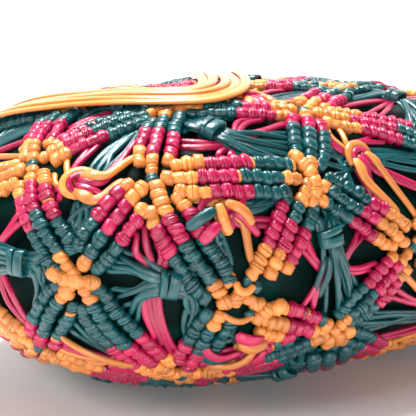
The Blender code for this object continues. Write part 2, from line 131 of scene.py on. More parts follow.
# How one bar differs: where orange and magenta end from its crossing, as shares, how far it
# humps, how long its knots are, how wide its rows, and where each row may start.
BarLook = namedtuple(
    "BarLook", "orange magenta hump knot wide starts",
    defaults=(0.27, 0.54, 0.0012, 0.0043, 1.0, (0, 0, 0)),
)
PLAIN_LOOK = BarLook()
BAR_LOOKS = {
    ((0, 1, 1), (0, 1, 0)): BarLook(0.295, 0.565, hump=0.0030, knot=0.0046, wide=1.06),
    ((0, 1, 1), (0, 0, 1)): BarLook(0.29, 0.50, hump=0.0016, knot=0.0040, wide=1.16),
    ((0, 1, 1), (1, 1, 1)): BarLook(0.24, 0.55, knot=0.0052, wide=1.06),
    ((1, 2, 1), (1, 1, 1)): BarLook(0.24, 0.51, knot=0.0041),
    ((1, 2, 1), (0, 2, 1)): BarLook(0.24, 0.455),
    ((1, 2, 1), (1, 3, 1)): BarLook(0.28, 0.58),
    ((0, 2, 0), (0, 2, 1)): BarLook(0.26, 0.50),
    ((0, 2, 0), (0, 1, 0)): BarLook(0.20, 0.36, wide=1.10),
    ((0, 0, 0), (0, 1, 0)): BarLook(
        0.43, 0.69, knot=0.0040, wide=1.08, starts=(0.0130, 0.0165, 0.0210),
    ),
    ((0, 0, 0), (0, 0, 1)): BarLook(1.0, 1.0),
    ((1, 1, 0), (0, 1, 0)): BarLook(0.36, 0.55, knot=0.0050),
    ((0, 0, 0), (1, 0, 0)): BarLook(0.38, 0.76, knot=0.0036, wide=1.08),
    ((1, 1, 0), (1, 0, 0)): BarLook(0.24, 0.50, knot=0.0040),
    ((1, 0, 1), (0, 0, 1)): BarLook(0.16, 0.48, knot=0.0044, wide=1.06),
    ((1, 0, 1), (1, 1, 1)): BarLook(0.26, 0.51, knot=0.0040, wide=1.06),
    ((2, 1, 1), (1, 1, 1)): BarLook(0.08, 0.32),
    ((1, 0, 1), (1, 0, 0)): BarLook(0.31, 0.57),
    ((2, 1, 1), (2, 0, 1)): BarLook(0.30, 0.55),
}

# Rows that run through a crossing or cluster where they don't follow the common rule.
PLACED_RUNS = {
    (0, 2, 1): {(1, 2, 1), (0, 2, 0)},
    (1, 1, 1): {(1, 2, 1), (1, 0, 1)},
    (0, 0, 1): {(0, 0, 0)},
}

# Turn and rise of the knots in the openings that the corner shows, and how far one may lie
# from its opening's middle.
PLACED_KNOTS = [
    (-48.5, -1.0), (-45.0, 28.5), (-19.0, 5.5), (-71.0, 1.5), (-73.5, 34.0),
    (-63.6, 14.0), (-40.0, 10.6), (-37.5, -15.5), (-7.0, 23.2), (-35.0, 46.5),
]
KNOT_ASTRAY = 0.026

CAMERA_AT = (-0.296, -0.411, 0.165)
CAMERA_TO = (-0.028, 0.0022, 0.078)
CAMERA_LENS = 83.7
SHOWN_SIDE = np.array([-0.45, -0.80, 0.40])
SHOWN_FROM = 0.12


def unit(vectors):
    return vectors / np.linalg.norm(vectors, axis=-1, keepdims=True)


def reach(directions, lift):
    grow = np.asarray(lift) - NET_DEPTH
    across, deep, high = (np.abs(directions[..., axis]) for axis in range(3))
    full = (across / (HALF_LENGTH + grow)) ** FULLNESS
    full = full + (deep / (HALF_DEPTH + grow)) ** FULLNESS
    full = full + (high / (HALF_HEIGHT + grow)) ** FULLNESS
    down = np.maximum(-directions[..., 2], SMALL)
    return np.minimum(full ** (-1 / FULLNESS), (MIDDLE_HEIGHT + grow) / down)


def place(directions, lift):
    return MIDDLE + directions * reach(directions, lift)[..., None]


def direction_of(points):
    return unit(points - MIDDLE)


def lifted(points, lift):
    """Points over the bag, put at these heights over the lining."""
    return place(direction_of(points), lift)


def outward(points):
    offset = points - MIDDLE
    sizes = np.array([HALF_LENGTH, HALF_DEPTH, HALF_HEIGHT])
    return unit(np.sign(offset) * np.abs(offset / sizes) ** (FULLNESS - 1) / sizes)


def turned(turn, rise):
    turn, rise = math.radians(turn), math.radians(rise)
    flat = math.cos(rise)
    return np.array([math.sin(turn) * flat, -math.cos(turn) * flat, math.sin(rise)])


def on_oval(angles, grown, lift):
    angles = np.asarray(angles, float)
    x = (MOUTH_HALF_WIDTH + grown) * np.cos(angles)
    z = (MOUTH_HALF_HEIGHT + grown) * np.sin(angles)
    grow = np.asarray(lift) - NET_DEPTH
    left = (
        1
        - np.abs(x / (HALF_LENGTH + grow)) ** FULLNESS
        - np.abs(z / (HALF_HEIGHT + grow)) ** FULLNESS
    )
    y = (HALF_DEPTH + grow) * left ** (1 / FULLNESS)
    return MIDDLE + np.stack([x, y, z], axis=-1)


def lattice():
    steps = range(LATTICE_STEPS + 1)
    crossings = [
        (i, j, wall) for wall in (0, 1) for i in steps for j in steps
        if i + j <= LATTICE_STEPS
    ]
    known = set(crossings)
    bars, openings = [], []
    for i, j, wall in crossings:
        for end in ((i + 1, j, wall), (i, j + 1, wall)):
            if end in known:
                bars.append(((i, j, wall), end))
        corners = [(i, j, wall), (i + 1, j, wall), (i + 1, j + 1, wall), (i, j + 1, wall)]
        if known.issuperset(corners):
            openings.append((corners, (i + j) % 2 == 0))
    for step in steps[1:]:
        for here, before in (((step, 0), (step - 1, 0)), ((0, step), (0, step - 1))):
            bars.append(((*here, 0), (*here, 1)))
            corners = [(*before, 0), (*here, 0), (*here, 1), (*before, 1)]
            openings.append((corners, step % 2 == 0))
    return crossings, bars, openings


def edge_order():
    steps = range(LATTICE_STEPS + 1)
    right = [(LATTICE_STEPS - j, j, 0) for j in steps]
    left = [(i, LATTICE_STEPS - i, 1) for i in steps]
    return right + left


def settled_places(crossings, bars, openings):
    number = {crossing: n for n, crossing in enumerate(crossings)}
    edge = [number[crossing] for crossing in edge_order()]
    placed = [number[crossing] for crossing in PLACED_CROSSINGS]
    free = [n for n in range(len(crossings)) if n not in edge and n not in placed]
    angles = -math.pi / 2 + (np.arange(len(edge)) + 0.5) * 2 * math.pi / len(edge)
    points = np.zeros((len(crossings), 3))
    points[placed] = place(np.array([turned(*at) for at in PLACED_CROSSINGS.values()]), 0)
    points[edge] = on_oval(angles, NET_EDGE_OUT, 0)
    for n in free:
        i, j, wall = crossings[n]
        side = 1 if wall == 0 else -1
        start = (
            side * (START_ASIDE[0] + START_ASIDE[1] * min(i, j)),
            START_BACK[0] + START_BACK[1] * (i + j),
            START_UP * (j - i),
        )
        points[n] = place(unit(np.array(start)), 0)
    pairs = [(number[a], number[b], ARM_LENGTH, PULL) for a, b in bars]
    for (a, b, c, d), _ in openings:
        for one, other in ((a, c), (b, d)):
            pairs.append((number[one], number[other], OPENING_ACROSS, OPENING_PULL))
    pairs += [(a, b, EDGE_SPACING, PULL) for a, b in zip(edge, edge[1:] + edge[:1])]
    one, other, length, pull = (np.array(column) for column in zip(*pairs))
    for turn in range(SETTLING_ROUNDS):
        apart = points[other] - points[one]
        now = np.linalg.norm(apart, axis=1)
        step = apart * (pull * np.clip(now / length - 1, *LEAST_AND_MOST_STRETCH))[:, None]
        if turn < FIRST_ROUNDS:
            step = apart * (pull * FIRST_PULL)[:, None]
        move = np.zeros_like(points)
        np.add.at(move, one, step)
        np.add.at(move, other, -step)
        points[free] = place(direction_of(points[free] + move[free]), 0)
        slide = on_oval(angles + SLIDE_STEP, NET_EDGE_OUT, 0) - on_oval(angles, NET_EDGE_OUT, 0)
        slide = slide / SLIDE_STEP
        angles = angles + EDGE_SLIDE * (move[edge] * slide).sum(axis=1) / (slide**2).sum(axis=1)
        points[edge] = on_oval(angles, NET_EDGE_OUT, 0)
    return {crossing: direction_of(points[n]) for crossing, n in number.items()}


def line_between(start, end):
    parts = np.linspace(0, 1, LINE_POINTS)[:, None]
    return place(unit(start * (1 - parts) + end * parts), 0)


def walked(line):
    return np.append(0, np.linalg.norm(np.diff(line, axis=0), axis=1).cumsum())


def at_distances(line, distances):
    lengths = walked(line)
    return np.stack([np.interp(distances, lengths, line[:, axis]) for axis in range(3)], axis=-1)


def smooth(t):
    t = np.clip(t, 0, 1)
    return t * t * (3 - 2 * t)


def through(points, per_part):
    """A smooth line through the points, with a value for each sample between them."""
    points = np.asarray(points, float)
    held = np.concatenate([points[:1] * 2 - points[1:2], points, points[-1:] * 2 - points[-2:-1]])
    parts = np.linspace(0, len(points) - 1 - SMALL, per_part * (len(points) - 1) + 1)
    first = parts.astype(int)
    t = (parts - first)[:, None]
    a, b, c, d = (held[first + n] for n in range(4))
    return (
        2 * b + (c - a) * t + (2 * a - 5 * b + 4 * c - d) * t**2 + (3 * (b - c) + d - a) * t**3
    ) / 2


class Batch:
    """Many small closed forms of one colour that become one mesh."""

    def __init__(self):
        self.points, self.quads, self.uvs, self.tones = [], [], [], []
        self.count = 0

    def add(self, grid, uv, tone, close_rows, close_columns):
        """Grids of points, one for each form, with uv one longer where a grid closes."""
        forms, rows, columns = grid.shape[:3]
        i, j = np.meshgrid(
            np.arange(rows if close_rows else rows - 1),
            np.arange(columns if close_columns else columns - 1),
            indexing="ij",
        )
        after_i, after_j = (i + 1) % rows, (j + 1) % columns
        corners = [i * columns + j, after_i * columns + j]
        corners += [after_i * columns + after_j, i * columns + after_j]
        one = np.stack(corners, axis=-1).reshape(1, -1, 4)
        starts = self.count + np.arange(forms)[:, None, None] * rows * columns
        self.quads.append((starts + one).reshape(-1, 4))
        sides = [uv[:, i, j], uv[:, i + 1, j], uv[:, i + 1, j + 1], uv[:, i, j + 1]]
        self.uvs.append(np.stack(sides, axis=-2).reshape(-1, 2))
        self.points.append(grid.reshape(-1, 3))
        self.tones.append(np.repeat(tone, rows * columns))
        self.count += forms * rows * columns

    def made(self, name):
        points = np.concatenate(self.points)
        points[:, 2] = np.maximum(points[:, 2], FLOOR_CLEAR)
        quads = np.concatenate(self.quads)
        mesh = bpy.data.meshes.new(name)
        mesh.vertices.add(len(points))
        mesh.vertices.foreach_set("co", points.ravel())
        mesh.loops.add(quads.size)
        mesh.loops.foreach_set("vertex_index", quads.ravel())
        mesh.polygons.add(len(quads))
        mesh.polygons.foreach_set("loop_start", np.arange(0, quads.size, 4))
        mesh.update(calc_edges=True)
        layer = mesh.uv_layers.new(name="lace")
        layer.uv.foreach_set("vector", np.concatenate(self.uvs).ravel())
        tone = mesh.attributes.new("tone", "FLOAT", "POINT")
        tone.data.foreach_set("value", np.concatenate(self.tones))
        work = bmesh.new()
        work.from_mesh(mesh)
        bmesh.ops.recalc_face_normals(work, faces=work.faces)
        work.to_mesh(mesh)
        work.free()
        mesh.polygons.foreach_set("use_smooth", np.ones(len(quads), bool))
        return linked(name, mesh)


FLOOR_CLEAR = 0.0003
batches = {}


def batch(colour, region, kind):
    return batches.setdefault((colour, region, kind), Batch())


# How many points a wrap has round its barrel, and a lace round its outline, by region.
WRAP_AROUND = {"front": 10, "back": 8, "base": 8, "wide": 16, "wide back": 12}
LACE_AROUND = {"front": 8, "back": 8, "base": 6}

# A wrap's outline: shares of its width along the barrel and of its thickness out.
SHOWN_PROFILE = np.array([
    (-0.5, -0.6), (-0.49, 0.24), (-0.41, 0.45), (0.41, 0.45), (0.49, 0.24), (0.5, -0.6),
])
PLAIN_PROFILE = np.array([(-0.5, -0.6), (-0.45, 0.3), (0.45, 0.3), (0.5, -0.6)])
BARREL_SQUARENESS = 2.8
LACE_SQUARENESS = 2.1
LACE_TIP = 0.05
GRAIN_APART = 900


def all_round(count):
    return np.arange(count) * 2 * math.pi / count


def rounded_square(angles, squareness):
    """How far across and up a rounded square's outline reaches at each angle."""
    power = 2 / squareness
    return [np.sign(part) * np.abs(part) ** power for part in (np.cos(angles), np.sin(angles))]


def add_wraps(
    target, detail, centres, axes, ups, half_across, half_high, wide, slant,
    thick=LACE_THICK, from_middle=0.0, half_knot=1.0, tone=None,
):
    """Turns of lace round a barrel, each a closed ring of a flat lace.

    The barrel narrows with the distance from its knot's middle along the row.
    """
    count = len(centres)
    axes = unit(np.broadcast_to(axes, centres.shape))
    across = unit(np.cross(axes, ups))
    ups = np.cross(across, axes)
    angles = all_round(WRAP_AROUND[detail])
    side, high = rounded_square(angles, BARREL_SQUARENESS)
    profile = SHOWN_PROFILE if detail in ("front", "wide") else PLAIN_PROFILE
    along = profile[:, 0]
    half_across, half_high, wide, from_middle = (
        np.reshape(value, (-1, 1, 1)) * np.ones((count, 1, 1))
        for value in (half_across, half_high, wide, from_middle)
    )
    slant = np.reshape(slant, (count, 1, 1, 2))
    from_end = np.abs((along * wide + from_middle) / half_knot)
    out = profile[:, 1] * thick - KNOT_DROP * np.minimum(from_end, 1) ** KNOT_SQUARE
    x = side[None, :, None] * (half_across + out)
    z = high[None, :, None] * (half_high + out)
    y = along * wide + slant[..., 0] * x + slant[..., 1] * z
    grid = centres[:, None, None] + across[:, None, None] * x[..., None]
    grid = grid + ups[:, None, None] * z[..., None] + axes[:, None, None] * y[..., None]
    turn = np.append(angles, 2 * math.pi)
    over = np.append(along, along[0]) + 0.5
    u = turn[None, :, None] * half_across / MM + RNG.uniform(0, GRAIN_APART, (count, 1, 1))
    v = over[None, None, :] * wide / MM + RNG.uniform(0, GRAIN_APART, (count, 1, 1))
    uv = np.stack(np.broadcast_arrays(u, v), axis=-1)
    tones = RNG.uniform(0, 1, count) if tone is None else tone * np.ones(count)
    target.add(grid, uv, tones, True, True)


def add_lace(
    target, detail, line, half_wide, half_thick, tone=None, twist=0.0,
    squareness=LACE_SQUARENESS,
):
    """One lace along a line over the bag; its ends close to a point."""
    ahead = unit(np.gradient(line, axis=0))
    across = unit(np.cross(ahead, outward(line)))
    up = np.cross(across, ahead)
    turn = np.reshape(twist * np.ones(len(line)), (-1, 1))
    cos, sin = np.cos(turn), np.sin(turn)
    across, up = across * cos + up * sin, up * cos - across * sin
    angles = all_round(LACE_AROUND[detail])
    side, high = rounded_square(angles, squareness)
    size = np.ones(len(line))
    size[[0, -1]] = LACE_TIP
    half_wide = np.reshape(half_wide * size, (-1, 1, 1))
    half_thick = np.reshape(half_thick * size, (-1, 1, 1))
    grid = line[:, None] + across[:, None] * side[:, None] * half_wide
    grid = grid + up[:, None] * high[:, None] * half_thick
    u = walked(line)[:, None] / MM + RNG.uniform(0, GRAIN_APART)
    v = np.append(angles, 2 * math.pi)[None] * half_wide.max() / MM
    v = v + RNG.uniform(0, GRAIN_APART)
    uv = np.stack(np.broadcast_arrays(u, v), axis=-1)
    tone = RNG.uniform(0, 1) if tone is None else tone
    target.add(grid[None], uv[None], np.array([tone]), False, True)


def region_of(point):
    """Whether a place is in front, at the back or under the bag."""
    x, y, z = point
    if z < MIDDLE_HEIGHT / 2 and (x / BASE_HALF_LENGTH) ** 2 + (y / BASE_HALF_DEPTH) ** 2 < 1:
        return "base"
    return "front" if outward(np.array(point)) @ SHOWN_SIDE > SHOWN_FROM else "back"


def uneven(spread, least, most, count=None):
    """Shares that lie unevenly round one."""
    return np.clip(RNG.normal(1, spread, count), least, most)


CORE_STEP = 0.004
CORE_TONES = (0.2, 0.6)


def add_core(colour, region, line, start, end, size):
    """The lace that a run of knots is wound on: it fills their barrel and its ends."""
    within = np.linspace(start, end, max(2, int((end - start) / CORE_STEP)))
    at = np.concatenate([start - CORE_OUT * CORE_DOME, within, end + CORE_OUT * CORE_DOME[::-1]])
    shares = np.full(len(at), CORE_SHARE * size)
    shares[[1, -2]] *= CORE_DOME_WIDTH
    path = at_distances(line, at)
    path = path + np.minimum(at - start, 0)[:, None] * unit(line[1] - line[0])
    path = path + np.maximum(at - end, 0)[:, None] * unit(line[-1] - line[-2])
    add_lace(
        batch(colour, region, "knots"), region, path, KNOT_HALF_ACROSS * shares,
        KNOT_HALF_HIGH * shares, RNG.uniform(*CORE_TONES),
    )


# How far a knot lies out of line, and how its turns lean and differ in size and tone.
KNOT_AHEAD = 0.0012
KNOT_SWING = 0.07
KNOT_NOD = 0.05
KNOT_ASIDE = 0.00025
KNOT_PROUD = 0.00022
KNOT_LEAN = 0.05
TURN_LEAN = 0.03
TURN_SIZES = 0.012
TURN_TONES = 0.12


def add_knot(colour, region, line, start, end, turns, size, tilt):
    """One barrel of turns packed side by side between two distances along a line."""
    middle, half = (start + end) / 2, (end - start) / 2
    wide = 2 * half / turns
    from_middle = (np.arange(turns) - (turns - 1) / 2) * wide
    centres = at_distances(line, np.full(turns, middle))
    ends = at_distances(line, np.array([middle - KNOT_AHEAD, middle + KNOT_AHEAD]))
    axis = unit(ends[1] - ends[0] + SMALL)
    up = outward(centres[0])
    across = unit(np.cross(axis, up))
    axis = unit(axis + across * RNG.normal(0, KNOT_SWING) + up * RNG.normal(0, KNOT_NOD))
    centres = centres + across * RNG.normal(0, KNOT_ASIDE) + up * RNG.normal(0, KNOT_PROUD)
    centres = centres + axis * from_middle[:, None]
    slant = RNG.normal(0, TURN_LEAN, (turns, 2)) + [tilt + RNG.normal(0, KNOT_LEAN), 0]
    sizes = size * RNG.normal(1, TURN_SIZES, turns)
    tone = RNG.uniform(0, 1) + RNG.normal(0, TURN_TONES, turns)
    add_wraps(
        batch(colour, region, "knots"), region, centres, axis, up,
        KNOT_HALF_ACROSS * sizes - LACE_THICK / 2, KNOT_HALF_HIGH * sizes - LACE_THICK / 2,
        wide, slant, from_middle=from_middle, half_knot=half, tone=tone,
    )


TURNS_OF = {"orange": (1, 2, 2), "magenta": (1, 2, 3, 3), "teal": (1, 2, 2, 3)}
KNOT_LENGTHS = (0.10, 0.78, 1.25)
KNOT_SIZES = (0.055, 0.87, 1.12)
ROW_TILT = 0.14
ROW_TILTS = 0.03
STRAY_LAP = 0.0002
STRAY_SIZE = 0.86


def add_row(line, colour_at, region, look):
    """A row of knots along a line at its own height."""
    total = walked(line)[-1]
    lengths = uneven(*KNOT_LENGTHS, max(1, round(total / look.knot)))
    edges = np.append(0, np.cumsum(lengths)) * total / lengths.sum()
    tilt = RNG.choice([-ROW_TILT, ROW_TILT]) + RNG.normal(0, ROW_TILTS)
    run_start, run_colour = 0.0, None
    for start, end in zip(edges[:-1], edges[1:]):
        colour = colour_at((start + end) / 2)
        size = look.wide * uneven(*KNOT_SIZES)
        stray = region == "front" and colour != "orange" and RNG.uniform() < STRAY_SHARE
        stop = end - (STRAY_GAP if stray else 0.0)
        if run_colour not in (None, colour):
            add_core(run_colour, region, line, run_start, start, look.wide)
            run_start = start
        run_colour = colour
        add_knot(colour, region, line, start, stop, RNG.choice(TURNS_OF[colour]), size, tilt)
        if stray:
            ends = (stop - STRAY_LAP, end + STRAY_LAP)
            add_knot("orange", region, line, *ends, 1, size * STRAY_SIZE, tilt)
    add_core(run_colour, region, line, run_start, edges[-1], look.wide)


def opposite(node, neighbours, where):
    """The pair of bars that run through a crossing as one row of knots."""
    i, j, wall = node
    if node in PLACED_RUNS:
        return PLACED_RUNS[node]
    chosen = [n for n in neighbours if n[0] == i and n[2] == wall and n[1] != j]
    if len(chosen) == 2:
        return set(chosen)
    if not chosen or len(neighbours) < 3:
        return set(neighbours[:2])
    first = max(chosen, key=lambda n: n[1])
    here = place(where[node], 0)
    ahead = unit(place(where[first], 0) - here)
    others = [n for n in neighbours if n != first]
    last = min(others, key=lambda n: unit(place(where[n], 0) - here) @ ahead)
    return {first, last}


AHEAD = 0.002


class Bar:
    """A bar of three rows, from its crossing to its cluster."""

    def __init__(self, start, end, where):
        self.start, self.end = start, end
        self.look = BAR_LOOKS.get((start, end), PLAIN_LOOK)
        self.line = line_between(where[start], where[end])
        self.length = walked(self.line)[-1]
        self.middle = at_distances(self.line, self.length / 2)
        self.region = region_of(self.middle)
        self.sides = {}

    def across_at(self, distances):
        return across_line(self.line, distances)

    def spacing_at(self, distances):
        full = ROW_SPACING * self.look.wide
        near_x = ROW_SPACING_AT_X + (full - ROW_SPACING_AT_X) * smooth(distances / ROW_SWELL)
        left = smooth((self.length - distances) / ROW_SWELL)
        near_cluster = ROW_SPACING_AT_CLUSTER + (full - ROW_SPACING_AT_CLUSTER) * left
        return np.minimum(near_x, near_cluster)

    def lift_at(self, distances):
        centres = at_distances(self.line, distances)
        arch = np.clip(1 + 2 * outward(centres)[:, 2], 0, 1)
        share = np.clip(distances / self.length, 0, 1)
        return ROW_LIFT + self.look.hump * arch * np.sin(np.pi * share)

    def beside(self, distances, offset, lift):
        centres, across = self.across_at(distances)
        return lifted(centres + across * np.reshape(offset, (-1, 1)), lift)


def across_line(line, distances):
    """Places along a line and the directions across it over the bag."""
    centres = at_distances(line, distances)
    ahead = at_distances(line, distances + AHEAD) - at_distances(line, distances - AHEAD)
    return centres, unit(np.cross(ahead, outward(centres)))


OUTER_SHARES = (0.70, 0.76, 0.82, 0.88, 0.94, 1.0)
LEAST_RUN = 4
EASED = 3


def outer_run(bar, side, others):
    """Distances and offsets of an outer row where the bars beside it leave it room."""
    first = max(FROM_X_OUTER, bar.look.starts[1 + side])
    distances = np.arange(first, bar.length - FROM_CLUSTER_OUTER, ROW_STEP)
    full = bar.spacing_at(distances)
    offset = np.zeros(len(distances))
    for share in OUTER_SHARES:
        points = bar.beside(distances, side * full * share, 0.0)
        room = np.linalg.norm(points[:, None] - others[None], axis=-1).min(axis=1)
        offset = np.where(room - full * share >= ROW_CLEAR, full * share, offset)
    stops = np.flatnonzero(np.append(offset, 0) == 0)
    starts = np.append(0, stops[:-1] + 1)
    longest = (stops - starts).argmax()
    run = slice(starts[longest], stops[longest])
    if len(offset[run]) < LEAST_RUN:
        return None
    padded = np.pad(offset[run], EASED, mode="edge")
    window = 2 * EASED + 1
    return distances[run], np.convolve(padded, np.ones(window) / window, "valid")


ROW_SWAY = 0.0003
ROW_SWAY_LENGTH = 0.0062
STAGGER = 0.02
OUTER_STAGGER = 0.02
MIDDLE_STAGGER = -0.01


def add_bar(bar, all_lines, runs_through):
    start_through, end_through = runs_through
    near = FROM_X_THROUGH if start_through else FROM_X_ABUTTING
    near = max(near, bar.look.starts[1])
    far = FROM_CLUSTER_THROUGH if end_through else FROM_CLUSTER_ABUTTING
    distances = np.arange(near, bar.length - far, ROW_STEP)
    others = np.concatenate([line[::2] for line in all_lines if line is not bar.line])
    rows = [(0, distances, np.zeros(len(distances)))]
    for side in (-1, 1):
        run = outer_run(bar, side, others)
        if run is not None:
            bar.sides[side] = run
            rows.append((side, *run))
    for side, along, offset in rows:
        lift = bar.lift_at(along) - (OUTER_ROW_DROP if side else 0)
        sway = ROW_SWAY * np.sin(along / ROW_SWAY_LENGTH + RNG.uniform(0, 6))
        line = bar.beside(along, side * offset + sway, lift)
        lengths = walked(line)
        stagger = RNG.normal(0, STAGGER) + (OUTER_STAGGER if side else MIDDLE_STAGGER)

        def colour_at(distance):
            share = np.interp(distance, lengths, along) / bar.length
            cluster = FROM_CLUSTER_OUTER if side else CLUSTER_REACH
            if (1 - share) * bar.length < cluster or share < bar.look.orange + stagger:
                return "orange"
            return "magenta" if share < bar.look.magenta + stagger else "teal"

        add_row(line, colour_at, bar.region, bar.look)


CROSSING_BIT_LINE = np.array([[-0.0030], [-0.0015], [0.0015], [0.0030]])
CROSSING_BIT = {"start": 0.0008, "end": 0.0052, "turns": 2, "size": 0.92, "tilt": 0.1}


def add_crossing_bit(node, where, ahead):
    """The turns of another colour in the middle of a crossing."""
    centre = place(where[node], ROW_LIFT)
    line = centre + unit(ahead) * CROSSING_BIT_LINE
    add_knot("teal", region_of(centre), line, **CROSSING_BIT)


STRAND_HALF_WIDE = 0.00135
STRAND_HALF_THICK = 0.00112
STRAND_POINTS = {"front": 5, "back": 4, "base": 3}
STRAND_EASING = 3
STRAND_SIZES = (0.10, 0.75, 1.25)
STRAND_TWIST = 0.22


def add_strand(
    colour, region, stops, half_wide=STRAND_HALF_WIDE, widths=None, thick=STRAND_HALF_THICK,
):
    """A loose lace through stops, each a point near the bag and its lift."""
    places, lifts = zip(*stops)
    per_part = STRAND_POINTS[region]
    line = through(lifted(np.array(places), np.array(lifts)), per_part)
    wide = np.full(len(line), half_wide * uneven(*STRAND_SIZES))
    if widths is not None:
        wide = wide * np.interp(np.arange(len(line)) / per_part, np.arange(len(stops)), widths)
    lengths = walked(line)
    even = np.linspace(0, lengths[-1], len(line))
    line, wide = at_distances(line, even), np.interp(even, lengths, wide)
    for _ in range(STRAND_EASING):
        line = np.concatenate([line[:1], (line[:-2] + 2 * line[1:-1] + line[2:]) / 4, line[-1:]])
    twist = RNG.normal(0, STRAND_TWIST) * np.linspace(0, 1, len(line))
    add_lace(batch(colour, region, "strands"), region, line, wide, thick, None, twist)


# Where laces leave a bar's side: how far apart, how far out, and at what lift.
LEAVE_APART = 0.0034
LEAVE_OUT = 0.0008
LEAVE_LIFT = 0.0026
LEAVE_MIDDLE_ROW = 0.0046
LEAVE_BY = 0.0026
ROOM_OF_LEAST_AND_FULL = (0.008, 0.018)
LEAST_SIZE = 0.35
BOW_AT = 0.55


class Opening:
    """One opening between bars, with its own directions and size."""

    def __init__(self, corners, is_fan, where, bars):
        natural = lifted(sum(place(where[at], 0) for at in corners) / len(corners), 0.0)
        placed = np.array([place(turned(*at), 0) for at in PLACED_KNOTS])
        astray = np.linalg.norm(placed - natural, axis=1)
        self.centre = natural
        if astray.min() < KNOT_ASTRAY:
            self.centre = lifted(placed[astray.argmin()], 0.0)
        self.region = region_of(self.centre)
        self.where = where
        up = outward(self.centre)
        crosses = [at for at in corners if sum(at) % 2 == 0]
        clusters = [at for at in corners if sum(at) % 2]
        ends = sorted(clusters if is_fan else crosses, key=lambda at: (at[0] + at[1], at[1]))
        main = place(where[ends[0]], 0) - place(where[ends[1]], 0)
        self.main = unit(main - up * (main @ up))
        self.side = np.cross(up, self.main)
        self.middle = float((natural - self.centre) @ self.main) / MM
        found = [
            bars.get((here, after)) or bars.get((after, here))
            for here, after in zip(corners, corners[1:] + corners[:1])
        ]
        self.bars = [bar for bar in found if bar]
        room = min(np.linalg.norm(bar.line - natural, axis=1).min() for bar in self.bars)
        least, full = ROOM_OF_LEAST_AND_FULL
        self.size = float(np.clip((room - least) / (full - least), LEAST_SIZE, 1.0))

    def at(self, x, y):
        """A place so many millimetres along and beside the opening's main direction."""
        return self.centre + (self.main * x + self.side * y) * self.size * MM

    def signs(self, node):
        """On which side of the middle a bar's end lies, along and beside the main direction."""
        towards = place(self.where[node], 0) - self.centre
        return (1 if towards @ self.main > 0 else -1), (1 if towards @ self.side > 0 else -1)

    def hand_of(self, bar):
        return 1 if (bar.middle - self.centre) @ self.side > 0 else -1

    def bend(self, point, target, amount):
        """A place between two, pushed sideways, so that a lace curves."""
        push = np.cross(outward(self.centre), unit(target - point))
        return point * (1 - BOW_AT) + target * BOW_AT + push * amount

    def starts(self, bar, low, high, most):
        """Where laces leave a bar's side towards the opening, and the way they leave it."""
        _, across = bar.across_at(np.array([bar.length / 2]))
        side = 1 if (self.centre - bar.middle) @ across[0] > 0 else -1
        run = bar.sides.get(side)
        begin, end = low * bar.length, high * bar.length
        if run is not None:
            begin, end = max(begin, run[0][0]), min(end, run[0][-1])
        count = min(most, int(max(end - begin, 0) / LEAVE_APART) + 1)
        at = np.linspace(begin, end, count + 2)[1:-1]
        offset = LEAVE_MIDDLE_ROW if run is None else np.interp(at, *run)
        points = bar.beside(at, side * (offset + LEAVE_OUT), LEAVE_LIFT)
        return list(zip(points, bar.across_at(at)[1] * side))


def add_tied(colour, opening, start, near, bow, ends, lifts, widths=None, out_by=LEAVE_BY):
    """A lace off its bar, bowed on its way to a near place, and on to its ends."""
    point, out = start
    bowed = [] if bow is None else [opening.bend(point, near, bow)]
    places = [point, point + out * out_by, *bowed, near, *ends]
    add_strand(colour, opening.region, list(zip(places, np.array(lifts) * MM)), widths=widths)


# A fan's laces: shares of the bar that they leave, how many at most, millimetres along and
# beside its main direction, and the lifts of their stops in millimetres.
FAN_FROM = (0.03, 0.94)
FAN_MOST = 5
FAN_BESIDE = (4.4, 1.15, 0.3)
FAN_NEAR = (7.0, 1.5)
FAN_TUCKS = [(2.8, 0.86), (-1.0, 0.80)]
FAN_BOW = 0.0026
FAN_LEAVE_BY = 0.0022
FAN_LIFTS = np.array([2.4, 3.0, 3.6, 4.6, 5.0, 4.6])
FAN_RAISED = np.array([0.0, 0.0, 1.2, 1.4, 0.6, 0.0])
FAN_WIDTHS = (0.75, 0.8, 0.9, 1.15, 1.1, 1.0)
FAN_SWELL = 0.65

UNDER_FAN_MOST = 2
UNDER_FAN_CROSS = (1.0, 1.9)
UNDER_FAN_NEAR = 5.6
UNDER_FAN_END = (-0.4, 0.6)
UNDER_FAN_BOW = (-0.0010, 0.0026)
UNDER_FAN_LIFTS = (2.4, 3.6, 4.2, 3.6, 3.0)
UNDER_FAN_WIDTHS = (0.9, 0.9, 1.2, 1.0, 0.8)

# The two turns of lace that tie a fan.
TIE_LIFT = 0.0062
TIE_AT = np.array([[-2.9], [0.9]])
TIE_HALF_ACROSS = 0.0052
TIE_HALF_HIGH = 0.0030
TIE_WIDE = np.array([0.0028, 0.0046])
TIE_SLANT = np.array([[0.10, 0.0], [-0.04, 0.06]])
TIE_THICK = 0.0014
TIE_FROM_MIDDLE = np.array([-0.0018, 0.0012])
TIE_HALF_LENGTH = 0.0050


